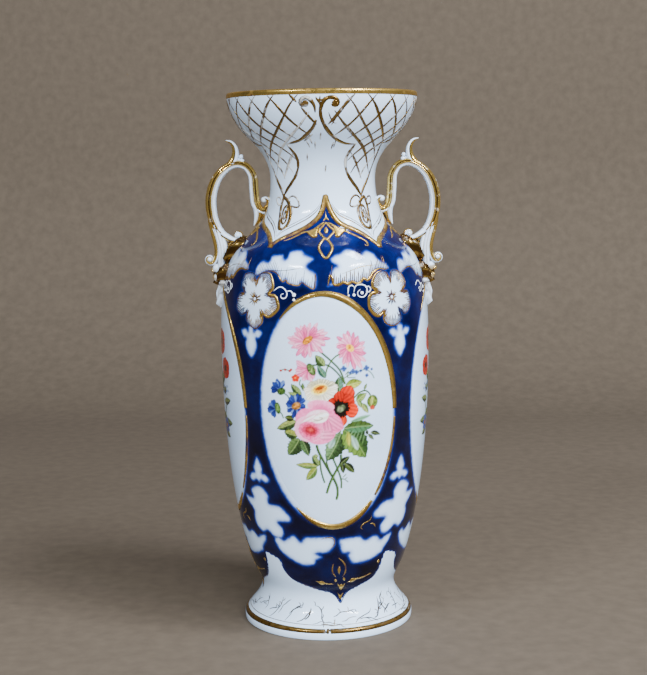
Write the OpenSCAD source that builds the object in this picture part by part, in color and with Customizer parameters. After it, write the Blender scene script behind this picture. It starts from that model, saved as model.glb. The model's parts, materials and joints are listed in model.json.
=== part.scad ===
// Two-handled porcelain flower vase on a spreading foot.
// Millimetres, +Z up, origin at the centre of the foot's resting plane.
// The painted front faces -Y and the handles stand along the X axis.

/* [Overall] */
// Height from the table to the rim
vase_h = 380; // [345:1:460]
// Outer radius at the rim
rim_r = 67.3; // [56:0.1:81]
// Outer radius of the barrel at its widest
belly_r = 74.6; // [62:0.1:90]

/* [Foot] */
// Outer radius of the foot's edge
foot_r = 61.3; // [52:0.1:74]
// Height of the upright edge of the foot
foot_edge_h = 4.5; // [3:0.1:8]
// Outer radius of the ankle, where foot and barrel meet
ankle_r = 48.4; // [40:0.1:54]
// Height of the ankle
ankle_h = 26.5; // [22:0.1:34]
// Width of the ring that rests on the table
rest_ring_w = 5; // [3.5:0.1:8]
// Wall of the foot
foot_wall = 5; // [3.5:0.1:6]

/* [Barrel] */
// Height of the widest point of the barrel
belly_h = 203.5; // [180:0.5:215]
// Outer radius of the barrel where its lower curve turns upright
lower_r = 57.4; // [52:0.1:62]
// Height of that turn
lower_h = 50; // [44:0.5:60]
// Wall of the barrel
body_wall = 5; // [3.5:0.1:7]
// Thickness of the closed floor
floor_t = 6; // [4:0.1:10]

/* [Shoulder and neck] */
// Outer radius in the middle of the shoulder's slope
shoulder_r = 54; // [49:0.1:60]
// Height of the middle of the shoulder's slope above the widest point
shoulder_rise = 76; // [70:0.5:92]
// Height of the seam between barrel and neck above the shoulder's middle
seam_rise = 15; // [12:0.1:20]
// Outer radius of the waist, the narrowest point of the neck
waist_r = 37.2; // [33:0.1:45]
// Height of the waist above the shoulder's middle
waist_rise = 40.5; // [34:0.5:46]
// Outer radius in the middle of the mouth's flare
flare_r = 52.5; // [46:0.1:60]
// Height of the middle of the flare below the rim
flare_drop = 31; // [26:0.5:36]
// Wall of the neck
neck_wall = 4.2; // [3:0.1:6]
// Thickness of the lip
lip_t = 3.4; // [2.6:0.1:4]

/* [Handles] */
// Half thickness of the strap, seen from the front
strap_a = 3.1; // [2.6:0.1:3.8]
// Half depth of the strap, front to back
strap_b = 5.6; // [4.5:0.1:7]
// Radius of the lower inner volute
inner_volute_r = 3.1; // [2.6:0.1:3.6]
// Radius of the lower outer volute
outer_volute_r = 3.3; // [2.8:0.1:3.8]
// Radius of the small volute beside the neck
neck_volute_r = 2.1; // [1.7:0.1:2.5]
// Radius of one berry
berry_r = 1.5; // [1.2:0.1:1.9]
// Thickness of the leaf boss on the shoulder
boss_t = 7; // [5:0.1:8]
// Thickness of the gilt sprig below the boss
sprig_t = 7; // [5:0.1:8]
// Thickness of the pendant leaf
pendant_t = 4; // [3:0.1:5]

/* [Hidden] */

white = "#e9eef4";
cobalt = "#0f1f5a";
gilt = "#b08d3c";

shoulder_h = belly_h + shoulder_rise;
seam_h = shoulder_h + seam_rise;
waist_h = shoulder_h + waist_rise;
flare_h = vase_h - flare_drop;
lip_r = lip_t / 2;

// ---- curves ----

// Point at t on a cubic Bezier curve
function bezier(a, b, c, d, t) =
    pow(1 - t, 3) * a + 3 * pow(1 - t, 2) * t * b + 3 * (1 - t) * t * t * c + t * t * t * d;
// n points along a cubic Bezier curve, without its last one
function bezier_run(a, b, c, d, n) = [for (i = [0 : n - 1]) bezier(a, b, c, d, i / n)];
// Point of a smooth curve through the list p, at i + t
function through(p, i, t) = let (
        last = len(p) - 1,
        a = i == 0 ? 2 * p[0] - p[1] : p[i - 1],
        b = p[i],
        c = p[i + 1],
        d = i + 2 > last ? 2 * p[last] - p[last - 1] : p[i + 2])
    0.5 * (2 * b + (c - a) * t + (2 * a - 5 * b + 4 * c - d) * t * t
        + (3 * b - a - 3 * c + d) * t * t * t);
// Smooth curve through p with n steps between neighbours
function smooth_path(p, n) =
    concat([for (i = [0 : len(p) - 2], k = [0 : n - 1]) through(p, i, k / n)], [p[len(p) - 1]]);

// ---- the outer profile, from the foot's edge to the lip, as [radius, height] ----

foot_profile = concat(
    bezier_run([foot_r, foot_edge_h], [foot_r - 2.5, foot_edge_h + 5],
        [ankle_r, ankle_h - 9], [ankle_r, ankle_h], 10),
    [[ankle_r, ankle_h]]);
body_profile_low = concat(
    bezier_run([ankle_r, ankle_h], [ankle_r, ankle_h + 6.6], [lower_r - 4.2, lower_h - 14],
        [lower_r, lower_h], 8),
    bezier_run([lower_r, lower_h], [lower_r + 8.9, lower_h + 29.6], [belly_r, belly_h - 74],
        [belly_r, belly_h], 12),
    bezier_run([belly_r, belly_h], [belly_r, belly_h + 57.5], [shoulder_r + 12.8, shoulder_h - 12.1],
        [shoulder_r, shoulder_h], 14));
// The slope from the shoulder's middle up to the waist, cut at the seam
shoulder_slope = bezier_run([shoulder_r, shoulder_h], [shoulder_r - 16, shoulder_h + 15.1],
    [waist_r, waist_h - 9.7], [waist_r, waist_h], 16);
// The two points of that slope on either side of the seam, and where they cross it
seam_i = max([for (i = [0 : len(shoulder_slope) - 1]) if (shoulder_slope[i][1] < seam_h) i]);
seam_lo = shoulder_slope[seam_i];
seam_up = shoulder_slope[seam_i + 1];
seam_point = seam_lo + (seam_up - seam_lo) * (seam_h - seam_lo[1]) / (seam_up[1] - seam_lo[1]);
body_profile = concat(body_profile_low, [for (i = [0 : seam_i]) shoulder_slope[i]], [seam_point]);
neck_profile = concat([seam_point],
    [for (i = [seam_i + 1 : len(shoulder_slope) - 1]) shoulder_slope[i]],
    bezier_run([waist_r, waist_h], [waist_r, waist_h + 9.7], [flare_r - 10.7, flare_h - 10.4],
        [flare_r, flare_h], 10),
    bezier_run([flare_r, flare_h], [flare_r + 10.7, flare_h + 10.4], [rim_r, vase_h - lip_r - 7.4],
        [rim_r, vase_h - lip_r], 10));
vase_profile = concat(foot_profile, body_profile, neck_profile);

// Unit vector square to the run from a to b, pointing away from the axis
function away(a, b) = let (d = b - a, l = norm(d)) [d[1] / l, -d[0] / l];
// The curve p moved by w along its own normal: inwards where w is negative
function moved(p, w) = [for (i = [0 : len(p) - 1])
    p[i] + w * away(p[max(i - 1, 0)], p[min(i + 1, len(p) - 1)])];
function reversed(p) = [for (i = [len(p) - 1 : -1 : 0]) p[i]];
// The curve's points between two heights
function between(p, lo, up) = [for (q = p) if (q[1] > lo && q[1] < up) q];
// Radius of the curve p at height z
function radius_at(p, z) = let (
        i = max([for (k = [0 : len(p) - 2]) if (p[k][1] <= z) k]),
        a = p[i],
        b = p[i + 1])
    a[0] + (b[0] - a[0]) * (z - a[1]) / (b[1] - a[1]);

body_inside = moved(body_profile, -body_wall);
neck_inside = moved(neck_profile, -neck_wall);
seam_in_r = seam_point[0] - (body_wall + neck_wall) / 2 - 0.6;

module revolved(points) {
    rotate_extrude($fn = 128) polygon(points);
}

// ---- shells ----

module foot() {
    inner_foot_r = foot_r - rest_ring_w;
    ankle_in_r = ankle_r - foot_wall;
    color(white) revolved(concat(
        [[inner_foot_r, 0], [foot_r - 0.8, 0], [foot_r, 0.8]],
        foot_profile,
        [[ankle_in_r, ankle_h]],
        reversed(between(moved(foot_profile, -foot_wall), foot_edge_h + 1, ankle_h - 1)),
        [[inner_foot_r, foot_edge_h]]));
}

module body() {
    floor_h = ankle_h + floor_t;
    color(cobalt) revolved(concat(
        [[0, ankle_h]],
        body_profile,
        [[seam_in_r, seam_h]],
        reversed(between(body_inside, floor_h + 3, seam_h - 2)),
        [[radius_at(body_inside, floor_h + 3) - 1.5, floor_h + 0.8],
         [radius_at(body_inside, floor_h + 3) - 5, floor_h],
         [0, floor_h]]));
}

module neck() {
    lip_in_r = rim_r - lip_t;
    lip_arc = [for (a = [0 : 22.5 : 180])
        [rim_r - lip_r + lip_r * cos(a), vase_h - lip_r + lip_r * sin(a)]];
    color(white) revolved(concat(
        neck_profile,
        lip_arc,
        reversed(between(neck_inside, seam_h + 2, vase_h - lip_r - 6)),
        [[seam_in_r, seam_h]]));
}

// ---- the handle, drawn on the +X side ----

// Where the handle's root meets the neck, and how far that has moved from the drawn handle
root_dx = radius_at(vase_profile, seam_h + 3) - 39.9;
top_dz = seam_h - 294.5;
// The same for the handle's lower end on the shoulder
low_dx = radius_at(vase_profile, seam_h - 29.5) - 66.6;
// A drawn point [x, z] put in place: its lower outer part follows the shoulder, the rest the neck
function placed(q) = let (
        outward = min(1, max(0, (q[0] - 50) / 20)),
        down = min(1, max(0, (300 - q[1]) / 32)),
        w = outward * down)
    [q[0] + root_dx * (1 - w) + low_dx * w, q[1] + top_dz];
function placed_path(p, n) = [for (q = smooth_path(p, n)) placed(q)];

// Points on the strap's centre line as [x, z]: from the neck, over the top, down the
// outside and in to the lower volute
strap_steps = 3;
strap_path = placed_path([[39.8, 292.8], [43, 296], [46.3, 299], [48.3, 304], [49, 313], [49.8, 322],
    [54, 328.6], [61, 330.8], [69, 327.6], [76, 319.5], [79.8, 307], [79, 294], [75.6, 285.4],
    [70, 279.8], [64.5, 277.2], [60.2, 277]], strap_steps);
knot_end = 3 * strap_steps;
top_i = 7 * strap_steps;
inner_start = 12 * strap_steps + 1;
// How thick the strap is along its path: slim at the top, tapering into its lower end
function strap_scale(i) = let (
        from_top = norm(strap_path[i] - strap_path[top_i]),
        from_end = len(strap_path) - 1 - i)
    min(1, 0.78 + 0.22 * from_top / 18, 0.62 + 0.38 * from_end / 10);

outer_path = placed_path([[81.4, 295], [81, 291], [79.2, 284], [77.2, 277], [76.2, 270.5],
    [76.8, 265], [79, 261], [81.6, 260.2]], 2);
stem_path = placed_path([[76.4, 285], [74.4, 279], [73.2, 272], [73, 264], [73.4, 257.5]], 2);
horn_path = placed_path([[64.2, 329.6], [62.4, 334.5], [61.5, 339.5], [62.4, 343.6],
    [65, 346.4], [68.2, 347.4]], 3);
tail_path = placed_path([[47.6, 303.5], [46.5, 298], [46.6, 293], [48.8, 287.2]], 3);

// Solid swept along the path p in the XZ plane. half[i] is [half thickness, half depth]
module strand(p, half, sides = 10) {
    n = len(p);
    rings = [for (i = [0 : n - 1]) let (
            d = p[min(i + 1, n - 1)] - p[max(i - 1, 0)],
            across = [d[1], -d[0]] / norm(d))
        for (k = [0 : sides - 1]) let (
            c = half[i][0] * cos(360 * k / sides),
            s = half[i][1] * sin(360 * k / sides))
            [p[i][0] + c * across[0], s, p[i][1] + c * across[1]]];
    walls = [for (i = [0 : n - 2], k = [0 : sides - 1]) let (
            a = i * sides + k,
            b = i * sides + (k + 1) % sides)
        each [[a, a + sides, b], [b, a + sides, b + sides]]];
    first = [for (k = [0 : sides - 1]) k];
    final = [for (k = [sides - 1 : -1 : 0]) (n - 1) * sides + k];
    polyhedron(rings, concat([first], walls, [final]));
}

module strap_part(from, to) {
    strand([for (i = [from : to]) strap_path[i]],
        [for (i = [from : to]) strap_scale(i) * [strap_a, strap_b]]);
}

// Round eye of a volute, lying across the handle
module volute_eye(x, z, r, depth) {
    q = placed([x, z]);
    translate([q[0], depth / 2, q[1]]) rotate([90, 0, 0]) cylinder(h = depth, r = r, $fn = 32);
}

// Everything inside the vase's outer surface, out to a layer of thickness t over it
module vase_filled(t = 0) {
    skin = t == 0 ? vase_profile : moved(vase_profile, t);
    revolved(concat([[0, skin[0][1]]], skin, [[0, vase_h - lip_r]]));
}

// Layer of thickness t on the vase's surface between two heights
module vase_layer(t, lo, up) {
    near = between(vase_profile, lo - 12, up + 12);
    revolved(concat(near, reversed(moved(near, t))));
}

module loop() {
    color(gilt) strap_part(knot_end, inner_start);
}

module horn() {
    n = len(horn_path) - 1;
    color(gilt) difference() {
        strand(horn_path, [for (i = [0 : n]) [2.9 - 2.2 * i / n, 4 - 3 * i / n]]);
        strap_part(knot_end, inner_start);
    }
}

// Three berries in the crook between the horn and the strap
berry_places = [[57.4, -1.6, 333.2], [57.4, 1.6, 333.2], [57.6, 0, 336]];
module berries() {
    color(white) difference() {
        for (q = berry_places)
            translate([q[0] + root_dx, q[1], q[2] + top_dz]) sphere(r = berry_r, $fn = 24);
        strap_part(knot_end, inner_start);
    }
}

// Root of the strap on the neck, with its small volute and the tail that runs down
module knot() {
    tail_end = len(tail_path) - 1;
    color(gilt) difference() {
        union() {
            strap_part(0, knot_end);
            strand(tail_path, [for (i = [0 : tail_end]) [3.4 - 2.2 * i / tail_end, 4.6 - 3.2 * i / tail_end]]);
            volute_eye(42, 305, neck_volute_r, 6.4);
            hull() {
                volute_eye(43.6, 304, 1.2, 5);
                volute_eye(45.4, 300.6, 2, 7);
            }
        }
        vase_filled();
        strap_part(knot_end, inner_start);
    }
}

module inner_scroll() {
    color(white) difference() {
        union() {
            strap_part(inner_start, len(strap_path) - 1);
            volute_eye(60.9, 280.2, inner_volute_r, 8);
        }
        strap_part(knot_end, inner_start);
        leaf_boss();
    }
}

module outer_scroll() {
    n = len(outer_path) - 1;
    color(gilt) difference() {
        union() {
            strand(outer_path, [for (i = [0 : n]) [1.4 + 0.5 * min(1, i / 4), 3.4]]);
            volute_eye(81.5, 263.3, outer_volute_r, 8);
        }
        strap_part(knot_end, len(strap_path) - 1);
    }
}

module stem() {
    n = len(stem_path) - 1;
    color(white) difference() {
        strand(stem_path, [for (i = [0 : n]) [2.6, 5.2]]);
        strap_part(knot_end, len(strap_path) - 1);
        outer_scroll();
        vase_filled(boss_t);
    }
}

// Pointed leaf outline, tip down: full width w at its shoulder, n pairs of lobes
module leaf_outline(w, h, lobes) {
    side = [for (i = [0 : 24]) let (t = i / 24,
            belly = sin(180 * pow(t, 0.7)),
            notch = 1 - 0.16 * pow(abs(sin(180 * lobes * t)), 3))
        [w / 2 * belly * notch, -h / 2 + h * (1 - t)]];
    polygon(concat(side, [for (i = [23 : -1 : 1]) [-side[i][0], side[i][1]]]));
}

// Leaf sizes as [width, height, height of its middle, pairs of lobes]
boss_leaf = [20, 19, 267 + top_dz, 3];
sprig_leaf = [17, 15, 252 + top_dz, 2];
pendant_leaf = [11, 22, 237.5 + top_dz, 1];

// The leaf's outline pushed out along +X through the vase's wall
module leaf_prism(leaf) {
    translate([waist_r / 2, 0, leaf[2]]) rotate([90, 0, 90])
        linear_extrude(belly_r) leaf_outline(leaf[0], leaf[1], leaf[3]);
}

// A leaf of thickness t that lies on the vase's surface
module leaf_on_vase(leaf, t) {
    intersection() {
        vase_layer(t, leaf[2] - leaf[1] / 2, leaf[2] + leaf[1] / 2);
        leaf_prism(leaf);
    }
}

module leaf_boss() {
    color(gilt) leaf_on_vase(boss_leaf, boss_t);
}

module sprig() {
    color(gilt) difference() {
        leaf_on_vase(sprig_leaf, sprig_t);
        leaf_prism(boss_leaf);
    }
}

module pendant() {
    color(white) difference() {
        leaf_on_vase(pendant_leaf, pendant_t);
        leaf_prism(sprig_leaf);
    }
}

module left() {
    mirror([1, 0, 0]) children();
}

foot();
body();
neck();
left() loop();  // left_loop
left() horn();  // left_horn
left() berries();  // left_berries
left() knot();  // left_knot
left() inner_scroll();  // left_inner_scroll
left() outer_scroll();  // left_outer_scroll
left() stem();  // left_stem
left() leaf_boss();  // left_leaf_boss
left() sprig();  // left_sprig
left() pendant();  // left_pendant
loop();  // right_loop
horn();  // right_horn
berries();  // right_berries
knot();  // right_knot
inner_scroll();  // right_inner_scroll
outer_scroll();  // right_outer_scroll
stem();  // right_stem
leaf_boss();  // right_leaf_boss
sprig();  // right_sprig
pendant();  // right_pendant
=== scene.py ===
# %% [markdown]
# # A two-handled porcelain vase
# The real vase is one fired piece: a hollow foot, a barrel with painted flower panels, a narrow neck
# with a flaring mouth, and two press-moulded handles. Its looks come from four finishes on white glaze:
# a cobalt ground that bled softly while it was fired, worn gilding, brown marbling on the foot and
# enamel flowers. The script loads the measured model first, so every piece has its true place.

# %% Load the measured model
import json
import math
import bpy
import numpy as np
from mathutils import Matrix, Vector

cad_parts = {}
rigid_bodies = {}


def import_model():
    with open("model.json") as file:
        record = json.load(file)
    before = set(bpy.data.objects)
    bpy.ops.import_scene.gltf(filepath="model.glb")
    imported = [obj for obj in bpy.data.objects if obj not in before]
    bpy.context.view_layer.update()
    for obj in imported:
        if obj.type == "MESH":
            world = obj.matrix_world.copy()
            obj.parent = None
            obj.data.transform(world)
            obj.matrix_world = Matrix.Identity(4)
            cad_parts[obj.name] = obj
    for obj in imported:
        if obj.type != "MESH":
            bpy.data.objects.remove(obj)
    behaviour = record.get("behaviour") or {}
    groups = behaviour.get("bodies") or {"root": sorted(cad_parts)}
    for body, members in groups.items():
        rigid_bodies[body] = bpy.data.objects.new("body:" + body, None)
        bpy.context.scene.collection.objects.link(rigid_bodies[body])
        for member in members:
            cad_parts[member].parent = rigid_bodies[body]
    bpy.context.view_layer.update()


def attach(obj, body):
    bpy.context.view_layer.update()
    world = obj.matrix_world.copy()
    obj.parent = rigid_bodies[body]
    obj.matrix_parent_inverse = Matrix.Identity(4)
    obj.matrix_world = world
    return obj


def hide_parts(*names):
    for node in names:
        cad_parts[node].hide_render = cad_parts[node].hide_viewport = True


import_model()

# %% [markdown]
# ## The profile that everything hangs on
# A potter checks a vase against one profile board. Here the board is seven Bezier curves through the
# foot, ankle, belly, shoulder, waist, flare and rim. Everything painted on the vase is placed by its
# angle round the axis and its height, so one function carries a flat drawing onto the surface.

# %% The profile board, in millimetres
MM = 0.001
vase_h, rim_r, belly_r, foot_r = 380, 67.3, 74.6, 61.3
ankle_r, ankle_h, lower_r, lower_h, belly_h = 48.4, 26.5, 57.4, 50, 203.5
shoulder_r, shoulder_h, waist_r, waist_h = 54, 279.5, 37.2, 320
flare_r, flare_h, lip_r, foot_edge_h = 52.5, 349, 1.7, 4.5
seam_h, body_wall, neck_wall, floor_h = 294.5, 5, 4.2, 32.5
rim_h = vase_h - lip_r
board = [
    [(foot_r, foot_edge_h), (foot_r - 2.5, foot_edge_h + 5), (ankle_r, ankle_h - 9), (ankle_r, ankle_h)],
    [(ankle_r, ankle_h), (ankle_r, ankle_h + 6.6), (lower_r - 4.2, lower_h - 14), (lower_r, lower_h)],
    [(lower_r, lower_h), (lower_r + 8.9, lower_h + 29.6), (belly_r, belly_h - 74), (belly_r, belly_h)],
    [(belly_r, belly_h), (belly_r, belly_h + 57.5), (shoulder_r + 12.8, shoulder_h - 12.1),
     (shoulder_r, shoulder_h)],
    [(shoulder_r, shoulder_h), (shoulder_r - 16, shoulder_h + 15.1), (waist_r, waist_h - 9.7),
     (waist_r, waist_h)],
    [(waist_r, waist_h), (waist_r, waist_h + 9.7), (flare_r - 10.7, flare_h - 10.4), (flare_r, flare_h)],
    [(flare_r, flare_h), (flare_r + 10.7, flare_h + 10.4), (rim_r, rim_h - 7.4), (rim_r, rim_h)]]


def bezier(a, b, c, d, t):
    t = t[:, None]
    a, b, c, d = map(np.array, (a, b, c, d))
    return (1 - t) ** 3 * a + 3 * (1 - t) ** 2 * t * b + 3 * (1 - t) * t * t * c + t ** 3 * d


steps = np.linspace(0, 1, 60, endpoint=False)
profile = np.vstack([bezier(*curve, steps) for curve in board] + [[[rim_r, rim_h]]])
slope_at = np.gradient(profile[:, 0], profile[:, 1])


def radius(z):
    return np.interp(z, profile[:, 1], profile[:, 0])


def slope(z):
    return np.interp(z, profile[:, 1], slope_at)


def on_vase(theta, z, lift=0.0):
    """Points in metres at angle theta (degrees, 0 in front, towards +X) and height z (mm)."""
    theta, z = np.radians(np.asarray(theta, float)), np.asarray(z, float)
    lean = np.sqrt(1 + slope(z) ** 2)
    r = radius(z) + lift / lean
    up = z - lift * slope(z) / lean
    return np.stack([r * np.sin(theta), -r * np.cos(theta), up], -1) * MM


print("rim", radius(rim_h), "belly", radius(belly_h), "waist", radius(waist_h), "foot", radius(foot_edge_h))

# %% [markdown]
# ## Camera, floor and light
# The camera stands a metre away, at the height of the neck, and looks slightly down. The floor is a plain
# sweep of warm grey paper that rises behind the vase. A broad scrim in front lights the vase evenly, and
# is kept out of reflections, because a glaze would mirror it as a grey panel. Two tubes and a small
# ceiling panel give the glaze its narrow highlights, and a dim world fills the shadows.

# %% Camera
camera_data = bpy.data.cameras.new("camera")
camera_data.lens = 73.7
camera = bpy.data.objects.new("camera", camera_data)
bpy.context.collection.objects.link(camera)
tilt_down, roll = math.radians(7.556), 0.0136
aim = Matrix.Rotation(math.pi / 2 - tilt_down, 4, "X") @ Matrix.Rotation(-roll, 4, "Z")
camera.rotation_euler = aim.to_euler()
camera.location = (-0.00095, -0.9902, 0.3369)
bpy.context.scene.camera = camera
print("camera lens", camera_data.lens, "mm")

# %% A helper that adds one node, and the colour function
def linear(hex_colour, alpha=1.0):
    channels = [int(hex_colour[i:i + 2], 16) / 255 for i in (1, 3, 5)]
    return tuple(c / 12.92 if c <= 0.04045 else ((c + 0.055) / 1.055) ** 2.4 for c in channels) + (alpha,)


def node(tree, kind, sockets=None, stops=None, **settings):
    """Adds a node. sockets maps an input's name or number to a value or to another node's output."""
    made = tree.nodes.new(kind)
    for name, value in settings.items():
        setattr(made, name, value)
    if stops:
        ramp = made.color_ramp
        while len(ramp.elements) < len(stops):
            ramp.elements.new(1.0)
        for element, (place, colour) in zip(ramp.elements, stops):
            element.position = place
            element.color = linear(colour)
    for name, value in (sockets or {}).items():
        if isinstance(value, bpy.types.NodeSocket):
            tree.links.new(value, made.inputs[name])
        else:
            made.inputs[name].default_value = value
    return made


def material(name, **values):
    """A new material with its Principled shader's plain sockets set. Returns it, its tree and shader."""
    made = bpy.data.materials.new(name)
    made.use_nodes = True
    shader = made.node_tree.nodes["Principled BSDF"]
    for socket, value in values.items():
        shader.inputs[socket.replace("_", " ")].default_value = value
    return made, made.node_tree, shader


print("porcelain white is", [round(c, 3) for c in linear("#e4ecf4")])

# %% Floor sweep and lamps
floor_mat, tree, shader = material("matt_studio_paper", Roughness=0.9)
where = node(tree, "ShaderNodeTexCoord").outputs["Object"]
fibre = node(tree, "ShaderNodeTexNoise", {"Vector": where, "Scale": 90.0, "Detail": 4.0})
paper = node(tree, "ShaderNodeValToRGB", {0: fibre.outputs["Fac"]}, [(0.3, "#574c3f"), (0.7, "#605446")])
tree.links.new(paper.outputs[0], shader.inputs["Base Color"])
bpy.ops.object.select_all(action="DESELECT")
bpy.ops.mesh.primitive_plane_add(size=1, location=(0, 0, 0))
floor = bpy.context.object
floor.name = "floor_sweep"
width, front, bend_y, back_h, bend_r = 6.0, -3.0, 0.75, 4.0, 0.35
turn = np.linspace(0, math.pi / 2, 16)
sweep = [(front, 0)] + [(bend_y + bend_r * math.sin(a), bend_r * (1 - math.cos(a))) for a in turn]
sweep.append((bend_y + bend_r, back_h))
verts = [(s * width / 2, y, z) for y, z in sweep for s in (-1, 1)]
faces = [(2 * i, 2 * i + 1, 2 * i + 3, 2 * i + 2) for i in range(len(sweep) - 1)]
floor.data.clear_geometry()
floor.data.from_pydata(verts, [], faces)
floor.data.shade_smooth()
floor.data.materials.append(floor_mat)


def lamp(name, place, target, size, power, tint):
    data = bpy.data.lights.new(name, "AREA")
    data.shape = "RECTANGLE"
    data.size, data.size_y = size
    data.energy = power
    data.color = linear(tint)[:3]
    obj = bpy.data.objects.new(name, data)
    obj.location = place
    obj.rotation_euler = (Vector(target) - Vector(place)).to_track_quat("-Z", "Y").to_euler()
    bpy.context.collection.objects.link(obj)
    return obj


lamp("tube_right", (1.22, -1.18, 1.7), (0, 0, 0.2), (0.6, 0.06), 32, "#eff5ff")
lamp("tube_left", (-1.06, -1.33, 1.7), (0, 0, 0.2), (0.6, 0.06), 27, "#eff5ff")
lamp("ceiling_panel", (0.8, -0.46, 1.7), (0, 0, 0.2), (0.3, 0.5), 34, "#eff5ff")
scrim = lamp("front_scrim", (0.55, -2.45, 1.2), (0, 0, 0.2), (2.4, 1.5), 178, "#e6f1ff")
scrim.visible_glossy = False
world = bpy.data.worlds.new("pale_room")
world.use_nodes = True
world.node_tree.nodes["Background"].inputs["Color"].default_value = linear("#c3cad6")
world.node_tree.nodes["Background"].inputs["Strength"].default_value = 0.13
bpy.context.scene.world = world
print("four soft lamps and a pale room")

# %% [markdown]
# ## The thrown walls: foot, barrel and neck
# On the wheel each of the three is a wall pulled up round a centre, so each is spun here from its
# cross-section, in edit mode, and its seam is merged. The outer wall gets a point about every
# millimetre and a quarter, because the painted ground is stored on its points as a distance.

# %% A lathe
def only(obj):
    """Leaves just this object selected and active."""
    bpy.ops.object.select_all(action="DESELECT")
    obj.select_set(True)
    bpy.context.view_layer.objects.active = obj


def mesh_object(name, verts, edges=(), faces=()):
    mesh = bpy.data.meshes.new(name)
    mesh.from_pydata([tuple(v) for v in verts], list(edges), list(faces))
    obj = bpy.data.objects.new(name, mesh)
    bpy.context.collection.objects.link(obj)
    only(obj)
    return obj


def face_outwards(obj, merge=None):
    """Merges doubles closer than merge metres, then turns every face outwards."""
    only(obj)
    bpy.ops.object.mode_set(mode="EDIT")
    bpy.ops.mesh.select_all(action="SELECT")
    if merge:
        bpy.ops.mesh.remove_doubles(threshold=merge)
    bpy.ops.mesh.normals_make_consistent(inside=False)
    bpy.ops.object.mode_set(mode="OBJECT")
    obj.data.shade_smooth()


def lathe(name, outline, steps, closed=True):
    """Spins an outline of (radius, height) points in mm round the vase's axis."""
    n = len(outline)
    edges = [(i, i + 1) for i in range(n - 1)] + ([(n - 1, 0)] if closed else [])
    obj = mesh_object(name, [(r * MM, 0, z * MM) for r, z in outline], edges)
    bpy.ops.object.mode_set(mode="EDIT")
    bpy.ops.mesh.select_all(action="SELECT")
    bpy.ops.mesh.spin(steps=steps, angle=2 * math.pi, center=(0, 0, 0), axis=(0, 0, 1))
    bpy.ops.object.mode_set(mode="OBJECT")
    face_outwards(obj, 2e-6)
    return obj


def wall(z_from, z_to, step):
    """Points up the outer profile between two heights, about step mm apart along the curve."""
    z = np.linspace(z_from, z_to, 2000)
    run = np.concatenate([[0], np.cumsum(np.hypot(np.diff(radius(z)), np.diff(z)))])
    even = np.interp(np.linspace(0, run[-1], round(run[-1] / step) + 1), run, z)
    return [(float(radius(h)), float(h)) for h in even]


def inside(points, thickness):
    """The same points moved in square to the wall."""
    return [(r - thickness / math.sqrt(1 + slope(z) ** 2),
             z + thickness * slope(z) / math.sqrt(1 + slope(z) ** 2)) for r, z in points]

# %% Helpers that finish a piece, read its points and store values on them
def finish_piece(obj, mat, slot, *nodes):
    """Gives a piece its material and its body, and hides the CAD nodes it stands for. slot is not used."""
    obj.data.materials.clear()
    obj.data.materials.append(mat)
    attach(obj, "root")
    if nodes:
        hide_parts(*nodes)
    print(obj.name, len(obj.data.vertices), "points")


def points_of(obj):
    """The mesh's points as rows of x, y and z."""
    flat = np.empty(len(obj.data.vertices) * 3)
    obj.data.vertices.foreach_get("co", flat)
    return flat.reshape(-1, 3)


def store(obj, name, values):
    """Keeps one number on each point of the mesh, for its material to read."""
    obj.data.attributes.new(name, "FLOAT", "POINT").data.foreach_set("value", values)


def joined(parts):
    """The points and faces of several parts as one, then whatever else each part stores, end to end."""
    faces, base = [], 0
    for verts, part_faces, *_ in parts:
        faces += [tuple(int(k) + base for k in face) for face in part_faces]
        base += len(verts)
    stored = [np.concatenate(values) for values in list(zip(*parts))[2:]]
    return np.vstack([part[0] for part in parts]), faces, *stored


def angles(obj):
    """Each point's angle (degrees), height and radius (mm), as arrays."""
    x, y, z = points_of(obj).T / MM
    return np.degrees(np.arctan2(x, -y)), z, np.hypot(x, y)


same_radius = 0.03


def smooth_outside(obj):
    """Sets the outer wall's normals from the profile, so that the walls meet without a line."""
    theta, z, r = angles(obj)
    normals = np.empty(len(z) * 3)
    obj.data.vertex_normals.foreach_get("vector", normals)
    normals = normals.reshape(-1, 3)
    outer = (abs(r - radius(z)) < same_radius) & (z > foot_edge_h) & (z < rim_h)
    lean = np.sqrt(1 + slope(z) ** 2)
    ideal = np.stack([np.sin(np.radians(theta)), -np.cos(np.radians(theta)), -slope(z)], 1) / lean[:, None]
    normals[outer] = ideal[outer]
    obj.data.normals_split_custom_set_from_vertices(normals.tolist())


# %% Spin the three walls
# No blue lies above cobalt_top, so the wall above it has fewer points.
around, wall_gap, cobalt_top = 372, 1.27, 316
foot_inner, rest_r = foot_r - 5, foot_r - 0.8
foot_wall_in = [p for p in inside(wall(foot_edge_h, ankle_h, 2.5), 5)
                if foot_edge_h + 1 < p[1] < ankle_h - 1]
foot_shell = lathe("foot_shell", [(foot_inner, 0), (rest_r, 0), (foot_r - 0.2, 0.25), (foot_r, 0.8)]
                   + wall(foot_edge_h, ankle_h, 1.2) + [(ankle_r - 5, ankle_h)]
                   + foot_wall_in[::-1] + [(foot_inner, foot_edge_h)], around // 2)
body_wall_in = [p for p in inside(wall(ankle_h, seam_h, 8), body_wall) if floor_h + 3 < p[1] < seam_h - 2]
seam_in = float(radius(seam_h)) - 5.2
body_shell = lathe("body_shell", [(0, ankle_h)] + wall(ankle_h, seam_h, wall_gap) + [(seam_in, seam_h)]
                   + body_wall_in[::-1]
                   + [(body_wall_in[0][0] - 1.5, floor_h + 0.8), (body_wall_in[0][0] - 5, floor_h),
                      (0, floor_h)],
                   around, closed=False)
lip = [(rim_r - lip_r + lip_r * math.cos(a), rim_h + lip_r * math.sin(a))
       for a in np.linspace(0, math.pi, 13)]
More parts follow.
